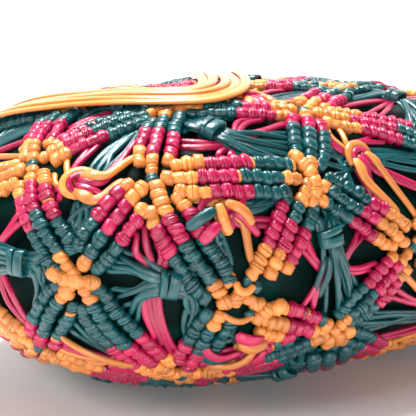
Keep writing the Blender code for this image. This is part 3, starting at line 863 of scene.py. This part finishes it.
def add_fan(opening):
    """Teal laces from both clusters tied in the middle, magenta ones behind them."""
    size = opening.size
    for bar in opening.bars:
        sign, _ = opening.signs(bar.end)
        hand = opening.hand_of(bar)
        low, high = bar.look.magenta + FAN_FROM[0], FAN_FROM[1]
        for n, start in enumerate(opening.starts(bar, low, high, FAN_MOST)):
            first, pitch, spread = FAN_BESIDE
            y = hand * (first - pitch * n + RNG.uniform(-spread, spread))
            near = opening.at(sign * (FAN_NEAR[0] + FAN_NEAR[1] * RNG.uniform(-1, 1)), y)
            bow = RNG.uniform(-FAN_BOW, FAN_BOW)
            ends = [opening.at(sign * along, y * beside) for along, beside in FAN_TUCKS]
            widths = np.array(FAN_WIDTHS)
            widths[3] += FAN_SWELL * RNG.uniform() ** 2
            lifts = FAN_LIFTS + FAN_RAISED * (n % 2)
            add_tied("teal", opening, start, near, bow, ends, lifts, widths, FAN_LEAVE_BY)
        _, hand = opening.signs(bar.start)
        low, high = bar.look.orange + FAN_FROM[0], bar.look.magenta
        for n, start in enumerate(opening.starts(bar, low, high, UNDER_FAN_MOST)):
            cross = opening.middle / size + sign * (UNDER_FAN_CROSS[0] + UNDER_FAN_CROSS[1] * n)
            near = opening.at(cross, hand * UNDER_FAN_NEAR)
            end = opening.at(cross + sign * UNDER_FAN_END[0], hand * UNDER_FAN_END[1])
            bow = sign * RNG.uniform(*UNDER_FAN_BOW)
            add_tied(
                "magenta", opening, start, near, bow, [end], UNDER_FAN_LIFTS, UNDER_FAN_WIDTHS,
            )
    centres = lifted(opening.centre + opening.main * TIE_AT * size * MM, TIE_LIFT)
    add_wraps(
        batch("teal", opening.region, "knots"),
        "wide" if opening.region == "front" else "wide back", centres, opening.main,
        outward(centres), TIE_HALF_ACROSS * size, TIE_HALF_HIGH * size, TIE_WIDE * size,
        TIE_SLANT, TIE_THICK, TIE_FROM_MIDDLE, TIE_HALF_LENGTH,
    )


# A loop knot's parts, in millimetres along and beside its main direction, and lift. The rings
# lie at the far end, and each tail leaves them towards the near crossing, on its hand.
RING_OUTER = [
    (2.6, 5.6, 4.4), (-1.4, 6.0, 5.8), (-4.8, 4.4, 6.9), (-6.4, 0.6, 7.4), (-5.8, -3.0, 7.1),
    (-3.0, -5.4, 6.2), (0.8, -5.8, 4.6),
]
RING_INNER = [
    (2.2, 3.4, 5.4), (-1.0, 4.0, 6.3), (-3.2, 2.6, 7.0), (-3.9, 0.0, 7.3), (-3.2, -2.4, 7.0),
    (-1.2, -3.8, 6.0), (1.8, -4.0, 5.0),
]
RINGS = [("orange", RING_OUTER, 0.00160, 0.0013), ("magenta", RING_INNER, 0.00125, 0.0012)]
RING_WIDTHS = (0.8, 1.1, 1.2, 1.2, 1.2, 1.1, 0.8)
LOOP_FOOT = 1.8
TAILS = [
    ("orange", 1, [(-2.4, 2.8, 5.2), (1.0, 4.0, 7.0), (4.8, 4.4, 7.6), (8.8, 5.0, 6.0)]),
    ("magenta", 1, [(-2.8, 1.2, 5.2), (0.6, 1.5, 7.2), (4.4, 1.3, 6.6), (8.4, 2.4, 5.0)]),
    ("magenta", -1, [(-2.8, -0.8, 5.2), (0.6, -1.1, 7.0), (4.4, -1.7, 6.8), (8.2, -3.0, 5.4)]),
    ("orange", -1, [(-2.4, -2.6, 5.2), (0.6, -3.9, 6.8), (4.4, -5.2, 7.4), (8.4, -6.0, 6.2)]),
]
TAIL_HALF_WIDE = {"orange": 0.0018, "magenta": 0.0014}
TAIL_THICK = 0.0012
TAIL_WIDTHS = (0.8, 1.2, 1.35, 1.1, 0.9, 0.8)
TAIL_LIFTS = (0.0040, 0.0026)
TAIL_FROM = 0.06

# The laces that go into a loop from its far crossing, from its near one, and behind it.
FAR_FROM = 0.10
FAR_NEAR = -7.6
FAR_END = (-3.0, 0.6)
FAR_BESIDE = {"orange": (1.6, 0.0), "magenta": (3.0, 1.6)}
FAR_BOW = (-0.001, 0.002)
FAR_LIFTS = (2.6, 4.0, 4.2, 3.8, 3.4)
FAR_WIDTHS = (0.9, 1.0, 1.1, 1.0, 0.9)
SIDE_FROM = 0.08
SIDE_NEAR = (6.5, 5.4)
SIDE_END = (1.0, 3.4)
SIDE_LEAVE_BY = 0.0030
SIDE_LIFTS = (2.4, 3.4, 3.4, 3.0)
BEHIND_FROM = (0.04, 0.90)
BEHIND_MOST = 3
BEHIND_ALONG = (3.8, 2.6)
BEHIND_NEAR = (1.3, 7.6)
BEHIND_END = (0.7, 1.0)
BEHIND_BOW = 0.0016
BEHIND_LIFTS = (2.4, 3.4, 3.0, 2.6, 2.2)


def add_loop(opening):
    """Orange and magenta laces looped through each other, teal ones behind them."""
    region = opening.region

    def local(path):
        return [
            (opening.at(x, y), (LOOP_FOOT + (lift - LOOP_FOOT) * opening.size) * MM)
            for x, y, lift in path
        ]

    for colour, path, half_wide, thick in RINGS:
        add_strand(colour, region, local(path), half_wide, RING_WIDTHS, thick)
    for colour, hand, path in TAILS:
        stops = local(path)
        for bar in opening.bars:
            if opening.signs(bar.start)[0] < 0 or opening.hand_of(bar) != hand:
                continue
            look = bar.look
            zone = (TAIL_FROM, look.orange) if colour == "orange" else (look.orange, look.magenta)
            point, away = opening.starts(bar, *zone, 1)[0]
            stops += zip((point + away * LEAVE_BY, point), TAIL_LIFTS)
        widths = TAIL_WIDTHS[:len(stops)]
        add_strand(colour, region, stops, TAIL_HALF_WIDE[colour], widths, TAIL_THICK)
    for bar in opening.bars:
        sign, _ = opening.signs(bar.start)
        hand = opening.hand_of(bar)
        orange, magenta = bar.look.orange, bar.look.magenta
        if sign < 0:
            zones = (("orange", FAR_FROM, orange, 1), ("magenta", orange, magenta, 2))
            for colour, low, high, most in zones:
                for n, start in enumerate(opening.starts(bar, low, high, most)):
                    y = hand * (FAR_BESIDE[colour][0] + FAR_BESIDE[colour][1] * n)
                    near, end = opening.at(FAR_NEAR, y), opening.at(FAR_END[0], y * FAR_END[1])
                    bow = hand * RNG.uniform(*FAR_BOW)
                    add_tied(colour, opening, start, near, bow, [end], FAR_LIFTS, FAR_WIDTHS)
        else:
            start = opening.starts(bar, orange + SIDE_FROM, magenta, 1)[0]
            near, end = (opening.at(x, hand * y) for x, y in (SIDE_NEAR, SIDE_END))
            add_tied(
                "magenta", opening, start, near, None, [end], SIDE_LIFTS, out_by=SIDE_LEAVE_BY,
            )
        sign, hand = opening.signs(bar.end)
        low, high = magenta + BEHIND_FROM[0], BEHIND_FROM[1]
        for n, start in enumerate(opening.starts(bar, low, high, BEHIND_MOST)):
            x = sign * (BEHIND_ALONG[0] - BEHIND_ALONG[1] * n)
            near, end = (opening.at(x * share, hand * y) for share, y in (BEHIND_NEAR, BEHIND_END))
            bow = RNG.uniform(-BEHIND_BOW, BEHIND_BOW)
            add_tied("teal", opening, start, near, bow, [end], BEHIND_LIFTS)


def build_net():
    crossings, pairs, openings = lattice()
    where = settled_places(crossings, pairs, openings)
    bars = {}
    for one, other in pairs:
        start, end = (one, other) if sum(one) % 2 == 0 else (other, one)
        bars[start, end] = Bar(start, end, where)
    neighbours = {node: [] for node in crossings}
    for start, end in bars:
        neighbours[start].append(end)
        neighbours[end].append(start)
    run_through = {node: opposite(node, neighbours[node], where) for node in crossings}
    lines = [bar.line for bar in bars.values()]
    for (start, end), bar in bars.items():
        add_bar(bar, lines, (end in run_through[start], start in run_through[end]))
    for node in crossings:
        if sum(node) % 2 == 0:
            ends = [place(where[n], 0) for n in run_through[node]]
            last = ends[-1] if len(ends) > 1 else place(where[node], 0)
            add_crossing_bit(node, where, ends[0] - last)
    for corners, is_fan in openings:
        opening = Opening(corners, is_fan, where, bars)
        if is_fan:
            add_fan(opening)
        else:
            add_loop(opening)
    return where, edge_order(), lines


# Knots that stand alone: turn, rise, heading in degrees from level, lift in millimetres,
# colour, turns, length and size.
LONE_KNOTS = [
    (-39.6, -0.9, 60, 5.2, "orange", 1, 0.0046, 1.0),
    (-40.2, -4.9, 20, 5.2, "orange", 2, 0.0050, 1.16),
    (-38.2, -4.3, 75, 5.8, "orange", 2, 0.0054, 1.12),
    (-36.0, -5.0, -20, 5.4, "orange", 1, 0.0048, 0.95),
    (-34.6, -5.9, 0, 5.4, "orange", 2, 0.0048, 1.05),
    (-32.9, -7.6, 50, 5.6, "orange", 2, 0.0050, 1.08),
    (-30.4, -7.2, 35, 6.2, "orange", 1, 0.0056, 1.12),
    (-36.3, -1.7, 80, 5.2, "teal", 2, 0.0036, 0.80),
    (-34.6, -2.8, 70, 5.2, "teal", 1, 0.0030, 0.80),
    (-18.5, -14.5, 70, 5.2, "orange", 1, 0.0050, 1.05),
    (-20.6, -17.2, 35, 5.6, "orange", 1, 0.0056, 1.10),
    (-17.0, -19.5, 85, 5.8, "orange", 2, 0.0054, 1.10),
    (-14.0, -19.2, 100, 5.8, "orange", 1, 0.0054, 1.05),
    (-11.3, -17.8, 125, 5.6, "orange", 1, 0.0050, 1.05),
    (-19.4, -26.0, 116, 6.6, "teal", 1, 0.0124, 1.28),
    (-14.4, -27.0, 116, 6.8, "teal", 1, 0.0124, 1.28),
    (-9.6, -25.8, 114, 6.6, "teal", 1, 0.0112, 1.24),
    (-16.6, -31.8, 114, 6.0, "magenta", 1, 0.0056, 1.22),
    (-11.6, -32.8, 114, 6.2, "magenta", 1, 0.0056, 1.22),
    (-7.2, -30.8, 112, 6.0, "magenta", 1, 0.0050, 1.18),
    (-25.5, 23.0, -45, 6.0, "orange", 1, 0.0048, 1.06),
    (-24.0, 21.2, -55, 6.2, "orange", 2, 0.0048, 1.06),
    (-22.8, 19.4, -65, 6.2, "orange", 1, 0.0048, 1.08),
    (-22.0, 17.4, -80, 6.2, "orange", 1, 0.0048, 1.06),
    (-22.1, 15.4, -95, 6.0, "orange", 2, 0.0046, 1.04),
    (-23.0, 13.7, -110, 5.6, "orange", 1, 0.0046, 1.02),
    (-20.4, 13.4, -30, 5.4, "orange", 1, 0.0046, 1.0),
    (-65.2, 0.4, -25, 6.0, "orange", 1, 0.0050, 1.08),
    (-59.8, -0.4, -8, 6.0, "orange", 2, 0.0050, 1.08),
    (-61.8, -0.2, -8, 6.6, "orange", 1, 0.0050, 1.06),
    (-63.6, -2.2, -35, 5.6, "orange", 1, 0.0048, 1.02),
    (-63.7, -0.1, -20, 6.4, "orange", 2, 0.0050, 1.06),
]

# Flat laces that lie over the corner's knots: colour, half width in millimetres, and turn, rise
# and lift in millimetres of each stop.
FLAT_LACES = [
    ("teal", 2.2, (-46.2, 8.2, 8.6, -44.6, 9.2, 10.2, -43.0, 10.6, 10.4, -41.6, 11.4, 9.4)),
    ("magenta", 2.2, (-43.8, 6.0, 8.6, -42.9, 7.0, 10.2, -41.9, 8.2, 10.4, -41.0, 9.2, 9.4)),
    ("orange", 2.1, (-38.3, -1.0, 6.4, -37.8, -2.5, 8.0, -36.4, -3.1, 8.2, -35.0, -2.0, 7.0)),
    ("orange", 1.5, (-41.0, -6.6, 6.0, -39.0, -8.0, 7.6, -37.0, -8.6, 7.8, -35.0, -8.0, 6.0)),
    ("magenta", 2.1, (-38.5, -11.5, 6.4, -36.5, -12.5, 8.4, -34.8, -13.2, 8.4, -33.2, -14.0, 6.6)),
    ("orange", 2.8, (-38.0, -13.3, 6.4, -36.4, -14.5, 8.6, -34.4, -15.0, 8.8, -32.4, -14.8, 6.8)),
    ("orange", 1.9, (-34.8, -15.8, 7.0, -36.5, -18.0, 8.4, -40.0, -19.0, 8.2, -44.0, -18.5, 6.2)),
    ("magenta", 1.9, (-32.8, -16.8, 6.4, -33.8, -18.4, 7.6, -35.0, -19.4, 7.0, -36.4, -20.0, 5.6)),
    ("magenta", 2.1, (-44.0, -12.5, 6.2, -43.4, -14.6, 7.4, -41.0, -16.5, 7.4, -37.5, -16.2, 6.2)),
    ("teal", 2.1, (-45.0, -15.0, 5.6, -43.4, -17.0, 6.6, -41.0, -17.4, 6.6, -38.5, -17.0, 5.8)),
    ("magenta", 1.4, (-39.4, 16.4, 4.6, -37.6, 14.6, 6.2, -37.4, 12.4, 6.8, -38.8, 10.8, 6.0)),
    ("magenta", 1.4, (
        -42.4, 15.6, 4.6, -42.4, 14.0, 6.2, -44.0, 12.6, 7.0, -44.4, 10.4, 6.6, -42.8, 8.6, 5.6,
    )),
    ("magenta", 1.7, (-39.4, 11.0, 6.0, -37.4, 10.6, 7.4, -35.8, 8.8, 7.0, -34.2, 6.8, 5.0)),
    ("orange", 2.4, (-40.6, 12.8, 7.4, -38.5, 12.2, 9.2, -36.6, 11.0, 9.2, -35.4, 8.8, 7.6)),
    ("orange", 2.3, (-41.4, 12.6, 7.6, -40.7, 10.8, 9.4, -40.1, 9.0, 9.2, -39.2, 7.2, 7.2)),
    ("teal", 1.2, (-19.8, 2.0, 5.0, -21.0, -1.0, 5.8, -21.9, -4.0, 4.8, -22.3, -6.6, 3.4)),
    ("teal", 1.4, (-18.9, 2.0, 5.4, -19.4, -2.0, 6.4, -20.4, -4.8, 5.2, -21.2, -7.6, 3.6)),
    ("teal", 1.3, (-18.0, 2.0, 5.6, -17.4, -3.0, 6.6, -16.4, -7.5, 5.4, -15.6, -11.8, 3.8)),
    ("teal", 1.2, (-17.2, 2.0, 5.0, -15.0, -2.4, 5.8, -13.4, -6.5, 4.6, -12.8, -9.5, 3.4)),
    ("orange", 1.5, (-66.0, -9.4, 6.0, -62.5, -11.5, 8.0, -59.5, -13.6, 8.0, -56.0, -16.6, 6.0)),
]
FLAT_WIDE = 1.08
FLAT_END = 0.85
LONE_TILT = 0.08


def build_corner():
    """The knots and laces that the front corner has besides its bars."""
    for turn, rise, heading, lift, colour, turns, length, size in LONE_KNOTS:
        middle = place(turned(turn, rise), lift * MM)
        up = outward(middle)
        level = unit(np.cross([0, 0, 1.0], up))
        heading = math.radians(heading)
        axis = level * math.cos(heading) + np.cross(up, level) * math.sin(heading)
        line = middle + axis * np.array([[-length], [0.0], [length]])
        start, end = length / 2, 3 * length / 2
        add_knot(colour, "front", line, start, end, turns, size, LONE_TILT)
        add_core(colour, "front", line, start, end, size)
    for colour, half_wide, course in FLAT_LACES:
        stops = [
            (place(turned(turn, rise), 0), lift * MM)
            for turn, rise, lift in np.reshape(course, (-1, 3))
        ]
        widths = np.full(len(stops), FLAT_WIDE)
        widths[[0, -1]] = FLAT_END
        add_strand(colour, "front", stops, half_wide * MM, widths)


# The handle: turn and rise of points on the solids' course, and its laces side by side.
HANDLE_COURSE = [
    (-137.2, 6.0), (-130.6, 12.2), (-122.2, 18.0), (-115.0, 22.5), (-108.8, 25.4),
    (-101.6, 28.3), (-93.5, 31.1), (-83.3, 34.0), (-72.8, 36.3), (-61.6, 38.4),
    (-52.5, 41.2), (-48.4, 47.2), (-51.6, 56.6), (-67.0, 68.1), (-119.1, 76.1),
    (-173.4, 68.0), (167.1, 54.2), (156.5, 41.8), (150.7, 30.9), (147.5, 21.1),
    (146.6, 10.3),
]
HANDLE_PER_PART = 14
HANDLE_POINTS = 150
HANDLE_END = 0.001
HANDLE_LACES = 5
HANDLE_HALF_WIDTH = 0.0110
HANDLE_OVER_NET = 0.0091
HANDLE_OVER_BINDING = 0.0058
HANDLE_CLIMB = 0.006
HANDLE_RAISED = 0.0014
HANDLE_LACE_WIDE = 0.56
HANDLE_LACE_HALF_THICK = 0.0010
HANDLE_LACE_SQUARENESS = 3.6

# How each of the handle's laces wanders aside, ripples and twists: how far it goes, the length
# over which it does, and how much later the next lace does.
HANDLE_WAVES = [(0.0004, 0.021, 2.1), (0.0005, 0.034, 1.7), (0.07, 0.030, 1.0)]


def build_handle():
    places = np.array([place(turned(*at), 0) for at in HANDLE_COURSE])
    line = lifted(through(places, HANDLE_PER_PART), 0.0)
    length = walked(line)[-1]
    distances = np.linspace(HANDLE_END, length - HANDLE_END, HANDLE_POINTS)
    centres, across = across_line(line, distances)
    climbed = smooth(np.minimum(distances, length - distances) / HANDLE_CLIMB)
    foot = HANDLE_OVER_BINDING + (HANDLE_OVER_NET - HANDLE_OVER_BINDING) * climbed
    pitch = 2 * HANDLE_HALF_WIDTH / HANDLE_LACES
    for n in range(HANDLE_LACES):
        wander, ripple, twist = (
            far * np.sin(distances / over + n * later) for far, over, later in HANDLE_WAVES
        )
        aside = (n - (HANDLE_LACES - 1) / 2) * pitch + wander
        path = lifted(centres + across * aside[:, None], foot + HANDLE_RAISED + ripple)
        add_lace(
            batch("orange", "handle", "laces"), "front", path, pitch * HANDLE_LACE_WIDE,
            HANDLE_LACE_HALF_THICK, None, twist, HANDLE_LACE_SQUARENESS,
        )


# The binding: two rows of knots of two turns each, round the mouth.
BINDING_POINTS = 400
BINDING_ROWS = (0.0036, 0.0086)
BINDING_LIFT = 0.0029
BINDING_KNOT = 0.0043
BINDING_TURNS = np.array([0.25, 0.75])
BINDING_AHEAD = 0.001
BINDING_SIZES = 0.03
BINDING_HALF_ACROSS = 0.0019
BINDING_HALF_HIGH = 0.0016
BINDING_LEAN = (0.08, 0.05)

# The strands from the binding to the net's edge: how far out of the mouth they start and are
# headed, how they choose where to end, and the lifts of their stops.
MOUTH_STRANDS = 96
MOUTH_STRANDS_FROM = 0.0105
MOUTH_STRANDS_TO = 0.0205
MOUTH_STRANDS_LIFT = 0.0020
LEAST_AHEAD = 0.004
ASTRAY_COST = 4
TOO_FAR = 1.0
MOUTH_LIFTS = (0.0022, 0.0030, 0.0030)
MOUTH_BOW_AT = 0.4
MAGENTA_SHARE = 0.3
EDGE_STRANDS = ("teal", "orange", "magenta", "orange", "teal")
EDGE_STRANDS_APART = 0.045
EDGE_LIFTS = (0.0034, 0.0040, 0.0022)


def build_binding(where, edge, lines):
    angles = np.linspace(0, 2 * math.pi, BINDING_POINTS)
    for grown in BINDING_ROWS:
        line = on_oval(angles, grown, BINDING_LIFT)
        length = walked(line)[-1]
        knots = round(length / BINDING_KNOT)
        starts = np.arange(knots) * length / knots
        at = (starts[:, None] + BINDING_KNOT * BINDING_TURNS).ravel()
        centres = at_distances(line, at)
        after = at_distances(line, np.minimum(at + BINDING_AHEAD, length))
        axes = after - at_distances(line, at - BINDING_AHEAD)
        size = np.repeat(RNG.normal(1, BINDING_SIZES, knots), 2)
        add_wraps(
            batch("orange", "rim", "laces"), "back", centres, axes, outward(centres),
            BINDING_HALF_ACROSS * size, BINDING_HALF_HIGH * size, BINDING_KNOT / 2,
            RNG.normal(*BINDING_LEAN, (len(at), 2)),
            from_middle=np.tile(BINDING_TURNS - 0.5, knots) * BINDING_KNOT,
            half_knot=BINDING_KNOT,
        )
    rim = [line_between(where[a], where[b]) for a, b in zip(edge, edge[1:] + edge[:1])]
    ends = np.concatenate(rim + [line[::2] for line in lines])
    for angle in all_round(MOUTH_STRANDS):
        inner = on_oval(angle, MOUTH_STRANDS_FROM, MOUTH_STRANDS_LIFT)
        out = unit(on_oval(angle, MOUTH_STRANDS_TO, MOUTH_STRANDS_LIFT) - inner)
        apart = ends - inner
        far = np.linalg.norm(apart, axis=1)
        ahead = apart @ out
        cost = np.where(ahead > LEAST_AHEAD, far * (1 + ASTRAY_COST * (1 - ahead / far)), TOO_FAR)
        reached = ends[cost.argmin()]
        bowed = inner * (1 - MOUTH_BOW_AT) + reached * MOUTH_BOW_AT
        colour = "magenta" if RNG.uniform() < MAGENTA_SHARE else "teal"
        add_strand(colour, "back", list(zip((inner, bowed, reached), MOUTH_LIFTS)))
    for node in edge:
        here = place(where[node], 0)
        angle = math.atan2(
            (here[2] - MIDDLE[2]) / (MOUTH_HALF_HEIGHT + NET_EDGE_OUT),
            here[0] / (MOUTH_HALF_WIDTH + NET_EDGE_OUT),
        )
        for n, colour in enumerate(EDGE_STRANDS):
            turn = angle + EDGE_STRANDS_APART * (n - (len(EDGE_STRANDS) - 1) / 2)
            inner = on_oval(turn, MOUTH_STRANDS_FROM, MOUTH_STRANDS_LIFT)
            places = (here, (here + inner) / 2, inner)
            add_strand(colour, "back", list(zip(places, EDGE_LIFTS)))


LINING_ROUND = 120
LINING_ALONG = 50
LINING_POLE = 0.02
LINING_IN = 0.0004
LINING_THICK = 0.0011
LINING_SOFT_FOLDS = 0.0016
LINING_EVEN_ROWS = 5
LINING_WEAVE = (3.0, 80.0)
FOLD_SCALE = 0.1
BROAD_FOLDS = 0.75


def crease_depth(points):
    """Soft uneven hollows of the lining, in the solid's wall.

    Each number in a wave is how often it goes up and down over 2 pi times the folds' scale,
    and they are uneven so that no hollow repeats.
    """
    x, y, z = (points[..., axis] / FOLD_SCALE for axis in range(3))
    bent = 2.6 * np.sin(5.3 * y + 1.0) + 1.7 * np.sin(8.1 * z)
    broad = 0.5 + 0.5 * np.sin(9.0 * x + 5.0 * z + bent)
    fine = 0.5 + 0.5 * np.sin(23.0 * x - 14.0 * y + 3.0 * np.sin(11.0 * z + 4.0 * x))
    return LINING_SOFT_FOLDS * (BROAD_FOLDS * broad**2 + (1 - BROAD_FOLDS) * fine)


def build_lining():
    turns = all_round(LINING_ROUND)
    skins = []
    for under in (LINING_IN, LINING_IN + LINING_THICK):
        edge = on_oval(turns, 0.0, -under)
        towards = direction_of(edge)
        tilt = np.arccos(towards[:, 1])
        round_axis = np.arctan2(towards[:, 2], towards[:, 0])
        skin = [edge]
        for n in range(1, LINING_ALONG + 1):
            angle = tilt + (math.pi - LINING_POLE - tilt) * n / LINING_ALONG
            flat = np.sin(angle)
            directions = np.stack(
                [flat * np.cos(round_axis), np.cos(angle), flat * np.sin(round_axis)], axis=-1,
            )
            deep = crease_depth(place(directions, 0.0)) * smooth(n / LINING_EVEN_ROWS)
            skin.append(place(directions, -under - deep))
        skins.append(np.array(skin))
    outer, inner = skins
    grid = np.concatenate([inner[::-1], outer])
    rows = np.arange(len(grid))[:, None] * LINING_WEAVE[0]
    columns = np.append(turns, 2 * math.pi)[None] * LINING_WEAVE[1]
    uv = np.stack(np.broadcast_arrays(rows, columns), axis=-1)
    cloth = Batch()
    cloth.add(grid[None], uv[None], np.array([0.5]), False, True)
    return cloth.made("lining_cloth")


class Paint:
    """A material, whose inputs are each given a value or the output that feeds them."""

    def __init__(self, name):
        self.material = bpy.data.materials.new(name)
        self.material.use_nodes = True
        self.tree = self.material.node_tree

    def feed(self, node, inputs):
        for name, value in inputs.items():
            if isinstance(value, bpy.types.NodeSocket):
                self.tree.links.new(value, node.inputs[name])
            else:
                node.inputs[name].default_value = value

    def add(self, kind, output, inputs, **settings):
        node = self.tree.nodes.new(f"ShaderNode{kind}")
        for name, value in settings.items():
            setattr(node, name, value)
        self.feed(node, inputs)
        return node.outputs[output]

    def ramp(self, value, stops):
        node = self.tree.nodes.new("ShaderNodeValToRGB")
        elements = node.color_ramp.elements
        for n, (position, colour) in enumerate(stops):
            element = elements[n] if n < len(elements) else elements.new(position)
            element.position = position
            element.color = (*colour, 1)
        self.feed(node, {"Fac": value})
        return node.outputs["Color"]

    def finish(self, inputs):
        self.feed(self.tree.nodes["Principled BSDF"], inputs)
        return self.material


# The laces' colours, for their grain's dark, its middle and its light, and where each lies.
LACE_LOOKS = {
    "orange": ((0.33, 0.085, 0.012), (0.64, 0.215, 0.044), (0.86, 0.40, 0.13)),
    "magenta": ((0.15, 0.002, 0.020), (0.39, 0.006, 0.060), (0.66, 0.06, 0.20)),
    "teal": ((0.001, 0.012, 0.014), (0.002, 0.062, 0.069), (0.024, 0.25, 0.26)),
}
GRAIN_STOPS = (0.30, 0.46, 0.60, 0.74)
GRAIN_STRETCH = (0.10, 2.6, 1.0)
GRAIN = {"Scale": 1.0, "Detail": 4.0, "Roughness": 0.6}
GRAIN_BUMP = {"Strength": 0.5, "Distance": 0.0004}
TONES = {"To Min": 0.72, "To Max": 1.20}
LACE_ROUGHNESS = {"From Min": 0.3, "From Max": 0.7, "To Min": 0.33, "To Max": 0.17}
LACE_SPECULAR = 0.52

# The lining's colours are painted shade and painted sheen. The satin is painted darker than it is,
# as the shade in the net's gaps. Soft random patches run from a near-black painted shade to a dark
# green that carries the painted satin sheen.
SATIN_PAINTED_SHADE_AND_SHEEN = [(0.54, (0.0008, 0.009, 0.008)), (0.84, (0.003, 0.055, 0.042))]
SATIN_WEAVE = {"Scale": 2200.0, "Detail": 2.0}
SATIN_SHADE_AND_SHEEN_NOISE = {"Scale": 38.0, "Detail": 1.0}
SATIN_BUMP = {"Strength": 0.15, "Distance": 0.0002}
SATIN = {"Roughness": 0.55, "Specular IOR Level": 0.05}


def lace_material(name, dark, colour, light):
    """A smooth lace with fine lengthwise grain, darker in the grain."""
    paint = Paint(name)
    uv = paint.add("UVMap", "UV", {}, uv_map="lace")
    along = paint.add("Mapping", "Vector", {"Vector": uv, "Scale": GRAIN_STRETCH})
    grain = paint.add("TexNoise", "Fac", {"Vector": along, **GRAIN})
    streaks = paint.ramp(grain, zip(GRAIN_STOPS, (dark, colour, colour, light)))
    tone = paint.add("Attribute", "Fac", {}, attribute_name="tone")
    value = paint.add("MapRange", "Result", {"Value": tone, **TONES})
    toned = paint.add("HueSaturation", "Color", {"Color": streaks, "Value": value})
    rough = paint.add("MapRange", "Result", {"Value": grain, **LACE_ROUGHNESS})
    bump = paint.add("Bump", "Normal", {"Height": grain, **GRAIN_BUMP})
    return paint.finish({
        "Base Color": toned, "Roughness": rough, "Normal": bump,
        "Specular IOR Level": LACE_SPECULAR,
    })


def satin_material(name):
    """Dark green satin, painted darker as the shade in the net's gaps, with soft noise patches
    from near-black painted shade to lighter painted satin sheen.
    """
    paint = Paint(name)
    where = paint.add("TexCoord", "Object", {})
    weave = paint.add("TexNoise", "Fac", {"Vector": where, **SATIN_WEAVE})
    # Painted shade and painted sheen: noise patches spread the near-black and the lighter green
    # over the lining.
    shade_and_sheen_patches = paint.add("TexNoise", "Fac", {"Vector": where, **SATIN_SHADE_AND_SHEEN_NOISE})
    bump = paint.add("Bump", "Normal", {"Height": weave, **SATIN_BUMP})
    return paint.finish({"Base Color": paint.ramp(shade_and_sheen_patches, SATIN_PAINTED_SHADE_AND_SHEEN), "Normal": bump, **SATIN})


def linked(name, data):
    obj = bpy.data.objects.new(name, data)
    bpy.context.collection.objects.link(obj)
    return obj


STAGE_LOOK = {"Roughness": 0.8, "Specular IOR Level": 0.2, "Emission Color": (1, 1, 1, 1)}


def white_stage(name, corners, colour, glow):
    mesh = bpy.data.meshes.new(name)
    mesh.from_pydata(corners, [], [tuple(range(len(corners)))])
    made = linked(name, mesh)
    look = {"Base Color": (*colour, 1), "Emission Strength": glow, **STAGE_LOOK}
    mesh.materials.append(Paint(f"{name}_white").finish(look))


FLOOR_REACH = 5.0
FLOOR_COLOUR = (0.93, 0.895, 0.88)
BACKDROP_AWAY = 1.6
BACKDROP_TALL = 3.0
BACKDROP_COLOUR = (0.9, 0.9, 0.9)
BACKDROP_GLOW = 1.04
WORLD_COLOUR = (1.0, 0.99, 0.98, 1)
WORLD_STRENGTH = 0.05
SENSOR_WIDTH = 36.0

# Area lights: place, what they point at, size and power.
LIGHTS = {
    "above": ((-0.08, 0.16, 1.10), (0.0, 0.0, 0.06), 0.36, 34.0),
    "left": ((-0.95, -0.15, 0.60), (-0.04, -0.03, 0.07), 0.4, 5.0),
    "front": ((-0.50, -1.12, 0.30), (-0.03, -0.03, 0.08), 0.25, 7.6),
}


def stage_and_light():
    far = FLOOR_REACH
    floor = [(-far, -far, 0), (far, -far, 0), (far, far, 0), (-far, far, 0)]
    white_stage("floor", floor, FLOOR_COLOUR, 0.0)
    ahead = unit((np.array(CAMERA_TO) - CAMERA_AT) * [1, 1, 0])
    aside = np.array([ahead[1], -ahead[0], 0.0]) * far
    foot = ahead * BACKDROP_AWAY
    top = foot + [0, 0, BACKDROP_TALL]
    backdrop = [tuple(foot - aside), tuple(foot + aside), tuple(top + aside), tuple(top - aside)]
    white_stage("backdrop", backdrop, BACKDROP_COLOUR, BACKDROP_GLOW)

    world = bpy.data.worlds.new("studio")
    world.use_nodes = True
    sky = world.node_tree.nodes["Background"]
    sky.inputs["Color"].default_value = WORLD_COLOUR
    sky.inputs["Strength"].default_value = WORLD_STRENGTH

    for name, (at, to, size, power) in LIGHTS.items():
        light = bpy.data.lights.new(name, "AREA")
        light.energy = power
        light.size = size
        aim(linked(name, light), at, to)

    camera = bpy.data.cameras.new("camera")
    camera.lens = CAMERA_LENS
    camera.sensor_width = SENSOR_WIDTH
    seen = linked("camera", camera)
    aim(seen, CAMERA_AT, CAMERA_TO)
    scene = bpy.context.scene
    scene.world, scene.camera = world, seen
    scene.view_settings.view_transform = "Standard"


def aim(obj, at, to):
    obj.location = at
    obj.rotation_euler = (Vector(to) - Vector(at)).to_track_quat("-Z", "Y").to_euler()


def main():
    where, edge, lines = build_net()
    build_corner()
    build_handle()
    build_binding(where, edge, lines)
    materials = {
        colour: lace_material(f"lace_{colour}_look", *look) for colour, look in LACE_LOOKS.items()
    }
    nodes = {
        "front": "macrame_body",
        "back": "macrame_body",
        "base": "macrame_base",
        "handle": "handle",
        "rim": "rim_binding",
    }
    for (colour, region, kind), made in batches.items():
        piece = made.made(f"{region}_{kind}_{colour}")
        piece.data.materials.append(materials[colour])
        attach(piece, "root")
        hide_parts(nodes[region])
    lining = build_lining()
    lining.data.materials.append(satin_material("lining_look"))
    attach(lining, "root")
    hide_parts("lining")
    stage_and_light()


main()
